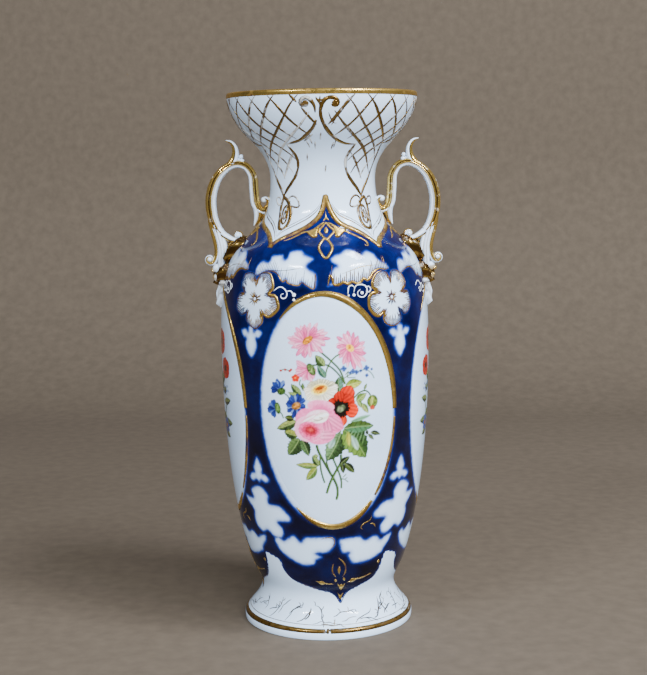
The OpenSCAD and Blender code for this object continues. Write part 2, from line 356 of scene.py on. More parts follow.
neck_wall_in = [p for p in inside(wall(seam_h, rim_h, 3), neck_wall) if seam_h + 2 < p[1] < rim_h - 6]
neck_low = wall(seam_h, cobalt_top, wall_gap)
neck_shell = lathe("neck_shell", neck_low + wall(cobalt_top, rim_h, 2.2)[1:] + lip[1:]
                   + neck_wall_in[::-1] + [(seam_in, seam_h)], around)
for shell in (foot_shell, body_shell, neck_shell):
    smooth_outside(shell)
    print(shell.name, len(shell.data.polygons), "faces")

# %% [markdown]
# ## Where the cobalt lies
# The decorator brushed cobalt oxide on everything but the panels, the leaves and the flowers, which
# stay white. In the kiln the oxide crept a millimetre or two under the glaze, so each edge is a pale
# blue halo. A drawing made of distances gives that: each point of the wall stores how far it is
# inside the blue, in mm, and the material turns the distance into colour.

# %% Distances to drawn shapes
def curve_through(points, closed=False):
    """A smooth line through drawn points, as twelve points from each to the next."""
    p = np.array(points, float)
    n = len(p)
    if n < 3:
        return np.array([p[0] + (p[-1] - p[0]) * t for t in np.linspace(0, 1, 24)])
    spans = n if closed else n - 1
    made = []
    for i in range(spans):
        b, c = p[i], p[(i + 1) % n]
        a = p[i - 1] if (i or closed) else 2 * b - c
        d = p[(i + 2) % n] if (i + 2 < n or closed) else 2 * c - b
        for t in np.linspace(0, 1, 12, endpoint=False):
            made.append(0.5 * (2 * b + (c - a) * t + (2 * a - 5 * b + 4 * c - d) * t * t
                               + (3 * b - a - 3 * c + d) * t ** 3))
    made.append(p[0] if closed else p[-1])
    return np.array(made)


def line_distance(x, z, line):
    """Distance from each point (x, z) to a polyline, all in mm."""
    best = np.full(x.shape, 1e9)
    for (ax, az), (bx, bz) in zip(line[:-1], line[1:]):
        dx, dz = bx - ax, bz - az
        t = np.clip(((x - ax) * dx + (z - az) * dz) / (dx * dx + dz * dz + 1e-12), 0, 1)
        best = np.minimum(best, (x - ax - t * dx) ** 2 + (z - az - t * dz) ** 2)
    return np.sqrt(best)


def within(x, z, line):
    """Signed distance to a closed outline, positive inside."""
    crossings = np.zeros(x.shape, bool)
    for (ax, az), (bx, bz) in zip(line, np.roll(line, -1, 0)):
        if az != bz:
            crossings ^= ((az > z) != (bz > z)) & (x < (bx - ax) * (z - az) / (bz - az) + ax)
    d = line_distance(x, z, np.vstack([line, line[:1]]))
    return np.where(crossings, d, -d)


# %% The drawing's parts, each as angle and height
panel_at = [0.0, 89.7, 180.0, -88.6]
pillar_at = [-43.0, 46.2, 134.8, -133.8]
oval_at, oval_x, oval_h, oval_z, oval_tilt = 1.3, 38.4, 80.8, 163.6, 0.03
oval_turn = np.radians(np.arange(0, 360, 4))
oval_points = np.stack([oval_at + oval_x * np.cos(oval_turn) - oval_tilt * oval_h * np.sin(oval_turn),
                        oval_z + oval_h * np.sin(oval_turn)], 1)
upper_leaf_left = [(-5.3, 248), (-4.2, 253), (-5, 258), (-10.2, 262.5), (-6.4, 267), (-8.3, 268.6),
                   (-11.6, 270), (-14.3, 272.4), (-18.2, 272.5), (-21.5, 271.4), (-22.3, 268),
                   (-23.7, 266.8), (-25.3, 267.5), (-25.9, 269.6), (-29.7, 269.6), (-33.3, 268.6),
                   (-33.5, 266), (-35.2, 264.6), (-37.9, 265.4), (-41, 263.9), (-42.3, 260),
                   (-41.8, 255.7), (-36.8, 257.9), (-34, 258.9), (-30.8, 259.1), (-28.1, 258.2),
                   (-25.9, 256.1), (-24.5, 253.6), (-22.8, 252.1), (-21.5, 253.9), (-20.4, 251.8),
                   (-18.2, 250.7), (-14.1, 250), (-12.1, 252.1), (-9.4, 250)]
upper_leaf_right = [(1.9, 249.6), (4.8, 252.6), (3.4, 257), (5.4, 261), (7.6, 262.5), (3.8, 266.5),
                    (6, 269), (10, 270.6), (14, 272.8), (19, 272.2), (20.4, 269.6), (22.4, 268),
                    (24.6, 270), (28.4, 271.4), (32, 269.4), (33.6, 266.4), (36.4, 264), (38.6, 262.4),
                    (39.8, 259.8), (37, 259), (34.6, 259.6), (31.6, 259.4), (28.6, 257.6), (26.6, 255),
                    (24.4, 252.6), (22.2, 254), (20.8, 252.2), (18.4, 250.6), (15.4, 252.2),
                    (13, 250.8), (10.4, 252), (8, 250.4), (5, 250.6)]
lower_leaf_left = [(-36, 70), (-34.2, 64.4), (-30.4, 60), (-25.1, 56.3), (-17.4, 53.1), (-9.7, 53.8),
                   (-7.8, 57.5), (-4, 60), (-7.8, 62.5), (0, 63.8), (4.2, 68.8), (3.7, 73.8),
                   (-1.3, 75), (-9, 75), (-14, 74.4), (-17.4, 71), (-22, 75), (-29, 71), (-33, 73)]
lower_leaf_right = [(8, 73), (8, 68.8), (9.5, 63), (14.3, 62.5), (13.3, 60), (17.2, 54.4), (22.9, 53.8),
                    (29.6, 55), (38.3, 58.8), (40.2, 62.5), (44, 67.5), (45, 72.5), (40, 71.4),
                    (36.4, 69.4), (33, 72.6), (30, 73), (24.8, 71), (21, 74), (17, 74)]
top_edge = [(-38.8, 275.8), (-37.6, 277.8), (-35.4, 280.2), (-30, 282.9), (-21, 286.6), (-13.6, 289.8),
            (-6, 294.6), (-2, 299), (0.4, 304), (2.4, 309.5), (4.1, 306), (6, 302.4), (8.2, 298.6),
            (11, 295), (14.3, 292), (19.2, 289.6), (25.8, 287.2), (31.2, 284.6), (35.6, 281.2),
            (38.2, 278.4), (39.8, 275.8)]
bottom_edge = [(-46.4, 58.6), (-35.6, 54.8), (-34.6, 51.3), (-32.4, 45), (-27, 39.4), (-17.4, 35.6),
               (-7.8, 32.5), (1.8, 30), (6.6, 26.3), (10, 22), (13.3, 26.6), (17.2, 30.6), (25.8, 34.4),
               (35.4, 38.8), (39.6, 45), (41.2, 51), (41.9, 55.5)]
# The top edge is drawn for the front and back panels, and is this much wider on the side ones.
side_wider = 1.28
print(len(top_edge), "points along the cobalt's top edge,", len(bottom_edge), "along its bottom edge")


# %% The white flowers and sprigs
# The flowers' outlines take one degree round the wall as this many millimetres.
flower_degree = 1.29


def outline_flower(centre, rays):
    """A closed outline through (angle, reach) rays in mm round a centre."""
    x = [centre[0] + reach * math.cos(math.radians(a)) / flower_degree for a, reach in rays]
    z = [centre[1] + reach * math.sin(math.radians(a)) for a, reach in rays]
    return curve_through(np.stack([x, z], 1), closed=True)


upper_flower_at = [(-40.4, 240.2), (38.9, 240.4)]
upper_rays = [(a + da, reach) for a in (54, 126, 198, 270, 342)
              for da, reach in ((-30, 16.4), (-19, 18.6), (-3, 19.6), (13, 19.0), (27, 17.2), (36, 12.4))]
star_rays = [(a + da, reach) for a in (54, 126, 198, 270, 342)
             for da, reach in ((-28, 16.2), (-17, 18.2), (2, 20.4), (15, 18.8), (26, 17.0), (36, 12.0))]
lower_flower = [(101, 18.8), (127, 18.2), (138, 13.4), (154, 21.3), (162, 18.6), (185, 11.2), (203, 13),
                (227, 15.6), (254, 16.6), (277, 14), (295, 19.8), (311, 23.6), (327, 20.6), (334, 14.8),
                (347, 23.4), (356, 24.6), (18, 17.6), (44, 9.6), (61, 14.2), (83, 17.8)]
upper_sprig = [(-7.7, 217.6), (-5.6, 213.6), (-3.6, 213), (-4.2, 207), (0, 199.6), (4.2, 207),
               (3.6, 213), (5.6, 213.6), (7.7, 217.6), (4.6, 219.4), (2.2, 217.6), (1.6, 221),
               (-1.6, 221), (-2.2, 217.6), (-4.6, 219.4)]
lower_sprig = [(0, 129.6), (3.4, 122), (2.8, 118.6), (5.6, 117.6), (7.8, 114.4), (5, 111.8), (2, 113.4),
               (0, 111.4), (-2, 113.4), (-5, 111.8), (-7.8, 114.4), (-5.6, 117.6), (-2.8, 118.6),
               (-3.4, 122)]
white_shapes = []
for shift in panel_at:
    white_shapes.append((oval_points, shift))
    for outline in (upper_leaf_left, upper_leaf_right, lower_leaf_left, lower_leaf_right):
        white_shapes.append((curve_through(outline, closed=True), shift))
for k, pillar in enumerate(pillar_at):
    side = k % 2
    shift = pillar - pillar_at[side]
    white_shapes.append((outline_flower(upper_flower_at[side], star_rays if side == 0 else upper_rays),
                         shift))
    rays = lower_flower if side == 0 else [(180 - a, reach) for a, reach in lower_flower]
    white_shapes.append((outline_flower(((-42.0, 90.4), (48.2, 92))[side], rays), shift))
    white_shapes.append((curve_through(upper_sprig, closed=True) + ((-42.6, 43.6)[side], 0), shift))
    white_shapes.append((curve_through(lower_sprig, closed=True) + ((-42.5, 46.6)[side], 0), shift))


# %% Work out the ground on the walls
def around_vase(edge):
    """A panel's edge line repeated round the vase, as sorted angles and heights."""
    wide = side_wider if edge is top_edge else 1
    line = np.vstack([curve_through(edge) * ((1, wide)[k % 2], 1) + (shift, 0)
                      for k, shift in enumerate(panel_at)])
    line = np.vstack([line - (360, 0), line, line + (360, 0)])
    return line[np.argsort(line[:, 0])]


def ground_distance(theta, z):
    """How far each point is inside the cobalt, in mm, up to 12."""
    r = radius(z)
    per_degree = r * math.pi / 180
    depth = np.full(theta.shape, 12.0)
    for edge, sign in ((top_edge, -1), (bottom_edge, 1)):
        line = around_vase(edge)
        height = np.interp(theta, line[:, 0], line[:, 1])
        near = abs(z - height) < 16
        depth = np.where((z - height) * sign < 0, -12, depth)
        spot = np.flatnonzero(near)
        for chunk in np.array_split(spot, 48):
            if not len(chunk):
                continue
            keep = (line[:, 0] > theta[chunk].min() - 12) & (line[:, 0] < theta[chunk].max() + 12)
            scale = per_degree[chunk].mean()
            local = np.column_stack([line[keep][:, 0] * scale, line[keep][:, 1]])
            d = line_distance(theta[chunk] * scale, z[chunk], local)
            d = np.where((z[chunk] - height[chunk]) * sign < 0, -d, d)
            depth[chunk] = np.minimum(depth[chunk], d)
    for outline, shift in white_shapes:
        low, up = outline.min(0), outline.max(0)
        middle = (low[0] + up[0]) / 2 + shift
        turn = (theta - middle + 180) % 360 - 180
        half = (up[0] - low[0]) / 2
        spot = np.flatnonzero((abs(turn) < half + 9) & (z > low[1] - 12) & (z < up[1] + 12))
        scale = per_degree[spot]
        mean = math.pi / 180 * radius((low[1] + up[1]) / 2)
        local = np.column_stack([(outline[:, 0] + shift - middle) * mean, outline[:, 1]])
        ratio = scale / mean
        d = within(turn[spot] * mean * (ratio if half > 30 else 1.0), z[spot], local)
        depth[spot] = np.minimum(depth[spot], -d)
    return depth


for shell in (foot_shell, body_shell, neck_shell):
    theta, z, r = angles(shell)
    depth = np.full(theta.shape, -12.0)
    outer = (abs(r - radius(z)) < same_radius) & (z < cobalt_top)
    order = np.flatnonzero(outer)
    order = order[np.argsort(theta[order])]
    depth[order] = ground_distance(theta[order], z[order])
    store(shell, "ground", depth)
    print(shell.name, "has", int((depth > 0).sum()), "points under cobalt")

# %% [markdown]
# ## The glaze over white and blue
# One feldspar glaze covers the three walls, cold and slightly blue where porcelain shows through it and
# dark where the cobalt lies under it. It is glossy, with gloss that drifts every couple of centimetres
# and a faint orange peel. One material does both: a ramp turns the stored distance into white, halo and
# blue, and a fine noise is added to the distance first, so that the blue's edge creeps as in the kiln.
# The blue is painted darkest low on the body and lighter up to the shoulder, as painted light for the
# shoulder's highlights.

# %% The glaze's colours and its skin
glaze_white, glaze_shade = "#d4e8fd", "#c3daf3"


def glaze_skin(tree, shader, where):
    """Gloss that varies a little, and the faint orange peel of a dipped glaze."""
    pooling = node(tree, "ShaderNodeTexNoise", {"Vector": where, "Scale": 45.0, "Detail": 2.0})
    gloss = node(tree, "ShaderNodeMapRange", {"Value": pooling.outputs["Fac"], "To Min": 0.06,
                                              "To Max": 0.15})
    tree.links.new(gloss.outputs[0], shader.inputs["Roughness"])
    peel = node(tree, "ShaderNodeTexNoise", {"Vector": where, "Scale": 130.0, "Detail": 2.0})
    bump = node(tree, "ShaderNodeBump", {"Height": peel.outputs["Fac"], "Strength": 0.12,
                                         "Distance": 0.0004})
    tree.links.new(bump.outputs[0], shader.inputs["Normal"])


# %% White, halo and cobalt by the stored distance
cobalt, tree, shader = material("cobalt_ground_under_glaze", IOR=1.5, Specular_IOR_Level=0.4,
                                Coat_Weight=0.12, Coat_Roughness=0.04)
where = node(tree, "ShaderNodeTexCoord").outputs["Object"]
depth = node(tree, "ShaderNodeAttribute", attribute_name="ground").outputs["Fac"]
bleed = node(tree, "ShaderNodeTexNoise", {"Vector": where, "Scale": 230.0, "Detail": 3.0, "Roughness": 0.6})
creep = node(tree, "ShaderNodeMath", {0: bleed.outputs["Fac"], 1: 1.8, 2: depth}, operation="MULTIPLY_ADD")
reach = node(tree, "ShaderNodeMapRange", {"Value": creep.outputs[0], "From Min": -3.1, "From Max": 6.9})
edge = node(tree, "ShaderNodeValToRGB", {0: reach.outputs[0]},
            [(0.0, "#d4e8fc"), (0.17, "#c0d6f1"), (0.27, "#a3b5d6"), (0.34, "#5a73b0"), (0.42, "#152c78"),
             (0.52, "#050f40"), (0.75, "#040a34")])
cloud = node(tree, "ShaderNodeTexNoise", {"Vector": where, "Scale": 34.0, "Detail": 5.0, "Roughness": 0.62})
strength = node(tree, "ShaderNodeValToRGB", {0: cloud.outputs["Fac"]},
                [(0.32, "#02041f"), (0.5, "#050b3c"), (0.68, "#0b1c5c")])
# Painted light: the mottled blue is made lighter from the belly up to the shoulder, standing in for its
# highlights.
height = node(tree, "ShaderNodeSeparateXYZ", {"Vector": where}).outputs["Z"]
painted_light_to_shoulder = node(tree, "ShaderNodeMapRange", {"Value": height, "From Min": 0.15, "From Max": 0.27,
                                           "To Min": 0.36, "To Max": 1.1})
laid = node(tree, "ShaderNodeVectorMath", {0: strength.outputs[0], "Scale": painted_light_to_shoulder.outputs[0]},
            operation="SCALE")
deep = node(tree, "ShaderNodeMapRange", {"Value": creep.outputs[0], "From Min": 1.4, "From Max": 4.2})
blue = node(tree, "ShaderNodeMix", {"Factor": deep.outputs[0], 6: edge.outputs[0], 7: laid.outputs[0]},
            data_type="RGBA")
tree.links.new(blue.outputs[2], shader.inputs["Base Color"])
glaze_skin(tree, shader, where)

finish_piece(foot_shell, cobalt, "marbled_porcelain", "foot")
finish_piece(body_shell, cobalt, "cobalt_ground", "body")
finish_piece(neck_shell, cobalt, "glazed_porcelain", "neck")

# %% [markdown]
# ## Gilding
# The gold was painted on last, with a fine brush, and fired low: each stroke is a thin raised thread
# that has since worn to brown on its high spots and gone in places. A flat stripe of colour would
# look printed, so every stroke is a real ribbon with a lens-shaped section, a tenth of a millimetre
# proud of the glaze. There is no Blender tool that lays a tapered stroke on a curved wall, so the
# ribbons are worked out point by point and joined.

# %% One brush stroke as a ribbon
brush = np.random.default_rng(7)
stroke_step = 1.3


def evenly(path, step, closed):
    """A drawn line of (angle, height) as points step mm apart on the wall."""
    line = curve_through(path, closed=closed)
    reach = radius(line[:, 1]).mean() * math.pi / 180
    lean = np.sqrt(1 + slope(line[:, 1]) ** 2)
    run = np.hypot(np.diff(line[:, 0]) * reach, np.diff(line[:, 1]) * lean[1:])
    run = np.concatenate([[0], np.cumsum(run)])
    count = max(3, round(run[-1] / step) + 1)
    even = np.linspace(0, run[-1], count)
    return np.stack([np.interp(even, run, line[:, 0]), np.interp(even, run, line[:, 1])], 1)


def ribbon(path, width, wear=0.3, taper=(0.25, 0.25), lift=0.13, closed=False, drawn=True):
    """One stroke: its points, its faces and how worn it is. taper is the width left at its ends."""
    line = evenly(path, stroke_step, closed) if drawn else np.array(path, float)
    n = len(line)
    per_degree = radius(line[:, 1]) * math.pi / 180
    lean = np.sqrt(1 + slope(line[:, 1]) ** 2)
    ahead = np.roll(line, -1, 0) - np.roll(line, 1, 0) if closed else np.gradient(line, axis=0)
    along = np.stack([ahead[:, 0] * per_degree, ahead[:, 1] * lean], 1)
    along /= np.linalg.norm(along, axis=1)[:, None] + 1e-12
    t = np.linspace(0, 1, n)
    swell = np.ones(n)
    if not closed:
        swell = np.minimum(1, taper[0] + (1 - taper[0]) * np.sin(np.minimum(t * 3, 1) * math.pi / 2))
        swell = np.minimum(
            swell, taper[1] + (1 - taper[1]) * np.sin(np.minimum((1 - t) * 3, 1) * math.pi / 2))
    wobble = np.interp(t, np.linspace(0, 1, 9), brush.uniform(0.86, 1.12, 9))
    wobble[-1] = wobble[0] if closed else wobble[-1]
    half = width / 2 * swell * wobble
    side_a, side_h = -along[:, 1] * half / per_degree, along[:, 0] * half / lean
    rows = [on_vase(line[:, 0] + side_a, line[:, 1] + side_h, -0.02), on_vase(line[:, 0], line[:, 1], lift),
            on_vase(line[:, 0] - side_a, line[:, 1] - side_h, -0.02),
            on_vase(line[:, 0], line[:, 1], -0.15)]
    verts = np.stack(rows, 1).reshape(-1, 3)
    i = np.arange(n if closed else n - 1)
    after = (i + 1) % n
    faces = [np.stack([4 * i + a, 4 * after + a, 4 * after + b, 4 * i + b], 1)
             for a, b in ((0, 1), (1, 2), (2, 3), (3, 0))]
    faces = np.vstack(faces)
    if not closed:
        faces = np.vstack([faces, [[3, 2, 1, 0]], [[4 * n - 4, 4 * n - 3, 4 * n - 2, 4 * n - 1]]])
    return verts, faces, np.full(len(verts), wear)

# %% A filled touch, a moved path and a helper that lays strokes
def dab(outline, wear=0.2, lift=0.22):
    """A filled touch of gold inside a drawn outline, proud in the middle."""
    line = evenly(outline, 0.9, True)
    middle = line.mean(0)
    inner = middle + (line - middle) * 0.55
    n = len(line)
    verts = np.vstack([on_vase(line[:, 0], line[:, 1], -0.03),
                       on_vase(inner[:, 0], inner[:, 1], lift * 0.8),
                       on_vase(*middle, lift)[None], on_vase(*middle, -0.3)[None]])
    i = np.arange(n)
    j = (i + 1) % n
    faces = [(a, b, n + b, n + a) for a, b in zip(i, j)]
    faces += [(n + a, n + b, 2 * n) for a, b in zip(i, j)] + [(b, a, 2 * n + 1) for a, b in zip(i, j)]
    return verts, faces, np.full(len(verts), wear)


def shifted(path, shift=0.0, mirror=None):
    """A drawn path moved round the vase, and turned about the angle mirror if one is given."""
    p = np.array(path, float)
    if mirror is not None:
        p[:, 0] = 2 * mirror - p[:, 0]
    p[:, 0] += shift
    return p


def lay_strokes(name, strokes, mat, slot):
    """Joins strokes into one piece that stores how worn each of them is."""
    verts, faces, wear = joined(strokes)
    obj = mesh_object(name, verts, (), faces)
    face_outwards(obj)
    store(obj, "wear", wear)
    finish_piece(obj, mat, slot)


# %% [markdown]
# ## The colour of worn gold
# Burnished gold over glaze is a warm metal. Where fingers and dusters thinned it, the brown oxide
# under it shows, and where it has gone the porcelain or the cobalt does. One noise a few millimetres
# across moves each stroke between the three, and the stroke's own wear says how far.

# %% Two gildings, one over white and one over cobalt
def gilding(name, under, bright="#f3c866", brown="#6b4820", streak=260.0):
    made, tree, shader = material(name)
    where = node(tree, "ShaderNodeTexCoord").outputs["Object"]
    wear = node(tree, "ShaderNodeAttribute", attribute_name="wear").outputs["Fac"]
    broad = node(tree, "ShaderNodeTexNoise", {"Vector": where, "Scale": 55.0, "Detail": 3.0})
    fine = node(tree, "ShaderNodeTexNoise", {"Vector": where, "Scale": streak, "Detail": 3.0})
    both = node(tree, "ShaderNodeMath", {0: broad.outputs["Fac"], 1: fine.outputs["Fac"]}, operation="ADD")
    loss = node(tree, "ShaderNodeMath", {0: wear, 1: 1.05, 2: both.outputs[0]}, operation="MULTIPLY_ADD")
    thin = node(tree, "ShaderNodeMapRange", {"Value": loss.outputs[0], "From Min": 1.1, "From Max": 1.55})
    gone = node(tree, "ShaderNodeMapRange", {"Value": loss.outputs[0], "From Min": 1.52, "From Max": 1.75})
    gold = node(tree, "ShaderNodeMix", {"Factor": thin.outputs[0], 6: linear(bright), 7: linear(brown)},
                data_type="RGBA")
    colour = node(tree, "ShaderNodeMix", {"Factor": gone.outputs[0], 6: gold.outputs[2], 7: linear(under)},
                  data_type="RGBA")
    metal = node(tree, "ShaderNodeMapRange", {"Value": loss.outputs[0], "From Min": 1.25, "From Max": 1.7,
                                              "To Min": 0.95, "To Max": 0.0})
    dull = node(tree, "ShaderNodeMapRange", {"Value": fine.outputs["Fac"], "From Min": 0.3, "From Max": 0.7,
                                             "To Min": 0.22, "To Max": 0.42})
    tree.links.new(colour.outputs[2], shader.inputs["Base Color"])
    tree.links.new(metal.outputs[0], shader.inputs["Metallic"])
    tree.links.new(dull.outputs[0], shader.inputs["Roughness"])
    return made


gilt_on_white = gilding("worn_burnished_gold_over_white", "#c9c6bd", "#a07c3c", "#57401f")
gilt_on_cobalt = gilding("worn_burnished_gold_over_cobalt", "#1a2140")
print("two gildings")

# %% Frames of the panels, and the gold along the cobalt's edges
gold = []
for k, shift in enumerate(panel_at):
    frame_line = shifted(oval_points, shift)
    gold.append(ribbon(frame_line[(oval_turn < math.radians(132))], 5.2, 0.08, (0.75, 0.2), 0.26))
    gold.append(ribbon(frame_line[(oval_turn > math.radians(234)) & (oval_turn < math.radians(312))], 4.8,
                       0.16, (0.2, 0.5), 0.24))
    gold.append(ribbon(frame_line[(oval_turn > math.radians(308))], 3.2, 0.4, (0.6, 0.7), 0.22))
    low = shifted(bottom_edge[1:-1], shift)
    gold.append(ribbon(low + (0, 0.8), 0.8, 0.7, (0.4, 0.4), 0.1))

# %% The gold line all round the top edge, and the ornament as drawn
ogee = around_vase(top_edge)
ogee = ogee[(ogee[:, 0] > -180) & (ogee[:, 0] <= 180)]
ogee = ogee[np.concatenate([[True], np.diff(ogee[:, 0]) > 0.05])]
gold.append(ribbon(ogee - (0, 1.5), 4.2, 0.36, lift=0.2, closed=True, drawn=False))
gold_lines = [[(-10, 284.2), (-15, 284.6), (-20, 282.6), (-25, 280.2), (-30, 278.6)],
              [(12, 284.8), (17, 284.8), (22, 283), (27, 280.6), (30.6, 278.4), (31.6, 276),
               (30, 274.8), (28.8, 276)], [(0.4, 291), (-3.6, 288.6), (-8, 286), (-13, 284.6)],
              [(4, 291), (8, 288.8), (12, 287), (17, 285)]]
rings = [[(2.1, 290.4), (5.4, 287.8), (8.6, 285), (5.4, 282.2), (2.1, 279.6), (-1.2, 282.2),
          (-3.8, 285), (-1.2, 287.8)],
         [(1.2, 280.4), (4.4, 277.6), (5.6, 274.2), (3.8, 270.6), (1.2, 267.6), (-1.4, 270.6),
          (-3.2, 274.2), (-2, 277.6)]]
leaves = [[(-0.8, 291.4), (1.4, 294), (2.3, 298.8), (3.4, 294), (6, 291.4), (2.6, 292.4)],
          [(7.2, 289.6), (8.4, 285.6), (8.4, 281), (11, 280.4), (13.4, 281.6), (17.6, 284.4),
           (20, 286.6), (14, 286.8), (10.4, 288)],
          [(-3.4, 288), (-4.4, 284.6), (-4.6, 281.2), (-7.2, 280.4), (-9.6, 281.2), (-12.8, 283.4),
           (-15.4, 285), (-10.4, 285.8), (-6.4, 286.6)],
          [(2.1, 288), (4.2, 285.4), (2.1, 283), (0.1, 285.4)]]
low_lines = [[(3.7, 54.5), (3.0, 50.8), (3.4, 47.4), (5.6, 43.8)],
             [(7.1, 58.8), (9.4, 56.8), (11.6, 53.6), (12.4, 50), (12, 46.6), (10.4, 43.6)],
             [(14.4, 38.6), (19, 40.6), (26, 41.4), (33.5, 43.8)],
             [(4.6, 38), (-1, 38.4), (-5.6, 39.6), (-9.4, 40.6)], [(7, 38.5), (8.8, 35.6), (10, 32.6)],
             [(13, 38.3), (11.4, 35.4), (10.2, 32.4)],
             [(27.8, 88.4), (26.5, 85.3), (22.5, 83.3), (20.8, 80.7), (22.2, 79.2)],
             [(27, 82.8), (29.6, 82.2), (31, 79.7)]]
low_dabs = [[(7.8, 52.8), (9, 49.4), (7.8, 45.8), (6.6, 49.4)],
            [(5, 42.6), (6.6, 41.4), (6, 39.6), (4.4, 40.6)],
            [(11.2, 43.4), (12.8, 42.2), (12.4, 40.4), (10.8, 41.4)],
            [(8, 35.6), (10, 38), (12, 35.6), (10, 33.2)],
            [(7.6, 30.6), (10, 28.4), (12.6, 30.6), (10, 24.8)],
            [(15.6, 39.2), (18, 42.2), (22, 40.6), (18.4, 38.6)],
            [(-2, 38.6), (-4.6, 40.8), (-8, 39.8), (-5, 37.4)],
            [(36.6, 52.2), (38, 53.6), (39.2, 52), (37.8, 50.6)]]
for shift in panel_at:
    gold += [ribbon(shifted(line, shift), 2.1, 0.22) for line in gold_lines]
    gold += [ribbon(shifted(line, shift), 2.3, 0.24, closed=True) for line in rings]
    gold += [dab(shifted(line, shift), 0.12) for line in leaves]
    gold += [ribbon(shifted(line, shift), 1.25, 0.34) for line in low_lines]
    gold += [dab(shifted(line, shift), 0.3) for line in low_dabs]

# %% Gold round the white flowers and leaves
for k, pillar in enumerate(pillar_at):
    shift = pillar - pillar_at[k % 2]
    centre = np.array(upper_flower_at[k % 2])
    outline = outline_flower(centre, star_rays if k % 2 == 0 else upper_rays)
    side = 1 if k % 2 == 0 else -1
    facing = (outline[:, 0] - centre[0]) * side > 3.6
    gold.append(ribbon(shifted(outline, shift), 1.1, 0.6, closed=True))
    inward = outline[facing]
    if len(inward) > 6:
        order = np.argsort(np.arctan2(inward[:, 1] - centre[1], (inward[:, 0] - centre[0]) * side))
        gold.append(ribbon(shifted(inward[order], shift), 2.6, 0.08, (0.1, 0.1), 0.24))
    for point in evenly(outline, 1.3, True):
        reach = brush.uniform(0.58, 0.82)
        gold.append(ribbon([shifted([centre + (point - centre) * s], shift)[0] for s in (0.98, reach)],
                           0.95, 0.56, (1, 0.2), 0.09))
    for ray in range(22):
        a = math.radians(ray * 16.4 + brush.uniform(-6, 6))
        long = brush.uniform(3.2, 6.4)
        tip = centre + (math.cos(a) * long / flower_degree + shift, math.sin(a) * long)
        root = centre + (math.cos(a) * 1.1 / flower_degree + shift, math.sin(a) * 1.1)
        gold.append(ribbon([root, tip], 0.9, 0.5, (1, 0.3), 0.12))
for shift in panel_at:
    for leaf, strength in ((upper_leaf_right, 0.3), (upper_leaf_left, 0.62)):
        low = np.array([p for p in leaf if p[1] < 260.5 and (abs(p[0]) > 1)])
        low = low[np.argsort(low[:, 0])]
        gold.append(ribbon(shifted(low, shift), (1.2, 2.4)[strength < 0.5], strength - 0.14))
        for a in np.arange(low[0, 0] + 1, low[-1, 0] - 1, 1.15):
            h = float(np.interp(a, low[:, 0], low[:, 1]))
            gold.append(ribbon([(a + shift, h), (a + shift + 0.5, h + brush.uniform(3.5, 9))],
                               (0.45, 0.85)[strength < 0.5], strength + 0.2, (1, 0.2), 0.09))
    gold.append(ribbon(shifted([(-4, 73.4), (0.5, 74.8), (3.8, 73.6), (4.2, 69.6), (1.4, 65.4)], shift),
                       0.9, 0.45))
    gold.append(ribbon(shifted([(-36, 259.8), (-24, 259.6), (-13, 261.4)], shift), 0.5, 0.6))
    gold.append(ribbon(shifted([(33, 262.4), (22, 261.6), (10, 257.4)], shift), 0.6, 0.3))
lay_strokes("gilding_on_ground", gold, gilt_on_cobalt, "worn_gilding")

# %% [markdown]
# ## White scrolls on the blue
# A few tiny white curls and dots sit on the cobalt beside each panel's top. They are white enamel laid
# on thickly, so they are ribbons and dabs too, whiter and duller than the glaze under them.

# %% White enamel curls
curls = [[(-28.3, 246), (-25.3, 248.6), (-22.6, 248.2), (-20.4, 245), (-21, 241.6), (-23.4, 241.4),
          (-23.8, 243.8), (-22.2, 244.4)], [(-20.4, 246), (-18.4, 246.4), (-16.6, 244)],
         [(12.6, 244), (13.2, 248.6), (15.2, 249.6), (16.4, 248)],
         [(15.9, 245), (17, 249), (20, 250), (23, 248.6), (23.4, 244.6), (21.2, 241.6), (18.4, 242.4),
          (18, 245), (19.6, 246.6)],
         [(22.6, 247.8), (24.4, 248.6), (25.8, 246.6), (24.4, 244.6), (22.8, 245.4)]]
dots = [(-16.4, 243.7, 1.5), (-16.4, 240.4, 1.1), (15.9, 243.2, 1.2), (20.5, 244.4, 1.3), (12.9, 243, 0.8)]
chalk, tree, shader = material("raised_white_enamel", Roughness=0.22)
where = node(tree, "ShaderNodeTexCoord").outputs["Object"]
clot = node(tree, "ShaderNodeTexNoise", {"Vector": where, "Scale": 700.0, "Detail": 2.0})
chalky = node(tree, "ShaderNodeValToRGB", {0: clot.outputs["Fac"]}, [(0.3, "#dfe7ef"), (0.6, "#fbfdff")])
tree.links.new(chalky.outputs[0], shader.inputs["Base Color"])
white_work = []
for shift in panel_at:
    white_work += [ribbon(shifted(line, shift), 1.0, 0, (0.5, 0.4), 0.16) for line in curls]
    for a, h, size in dots:
        ring = [(a + size * math.cos(b) / flower_degree, h + size * math.sin(b))
                for b in np.linspace(0, 5.4, 7)]
        white_work.append(dab(shifted(ring, shift), 0, 0.3))
lay_strokes("white_scrolls", white_work, chalk, "enamel")

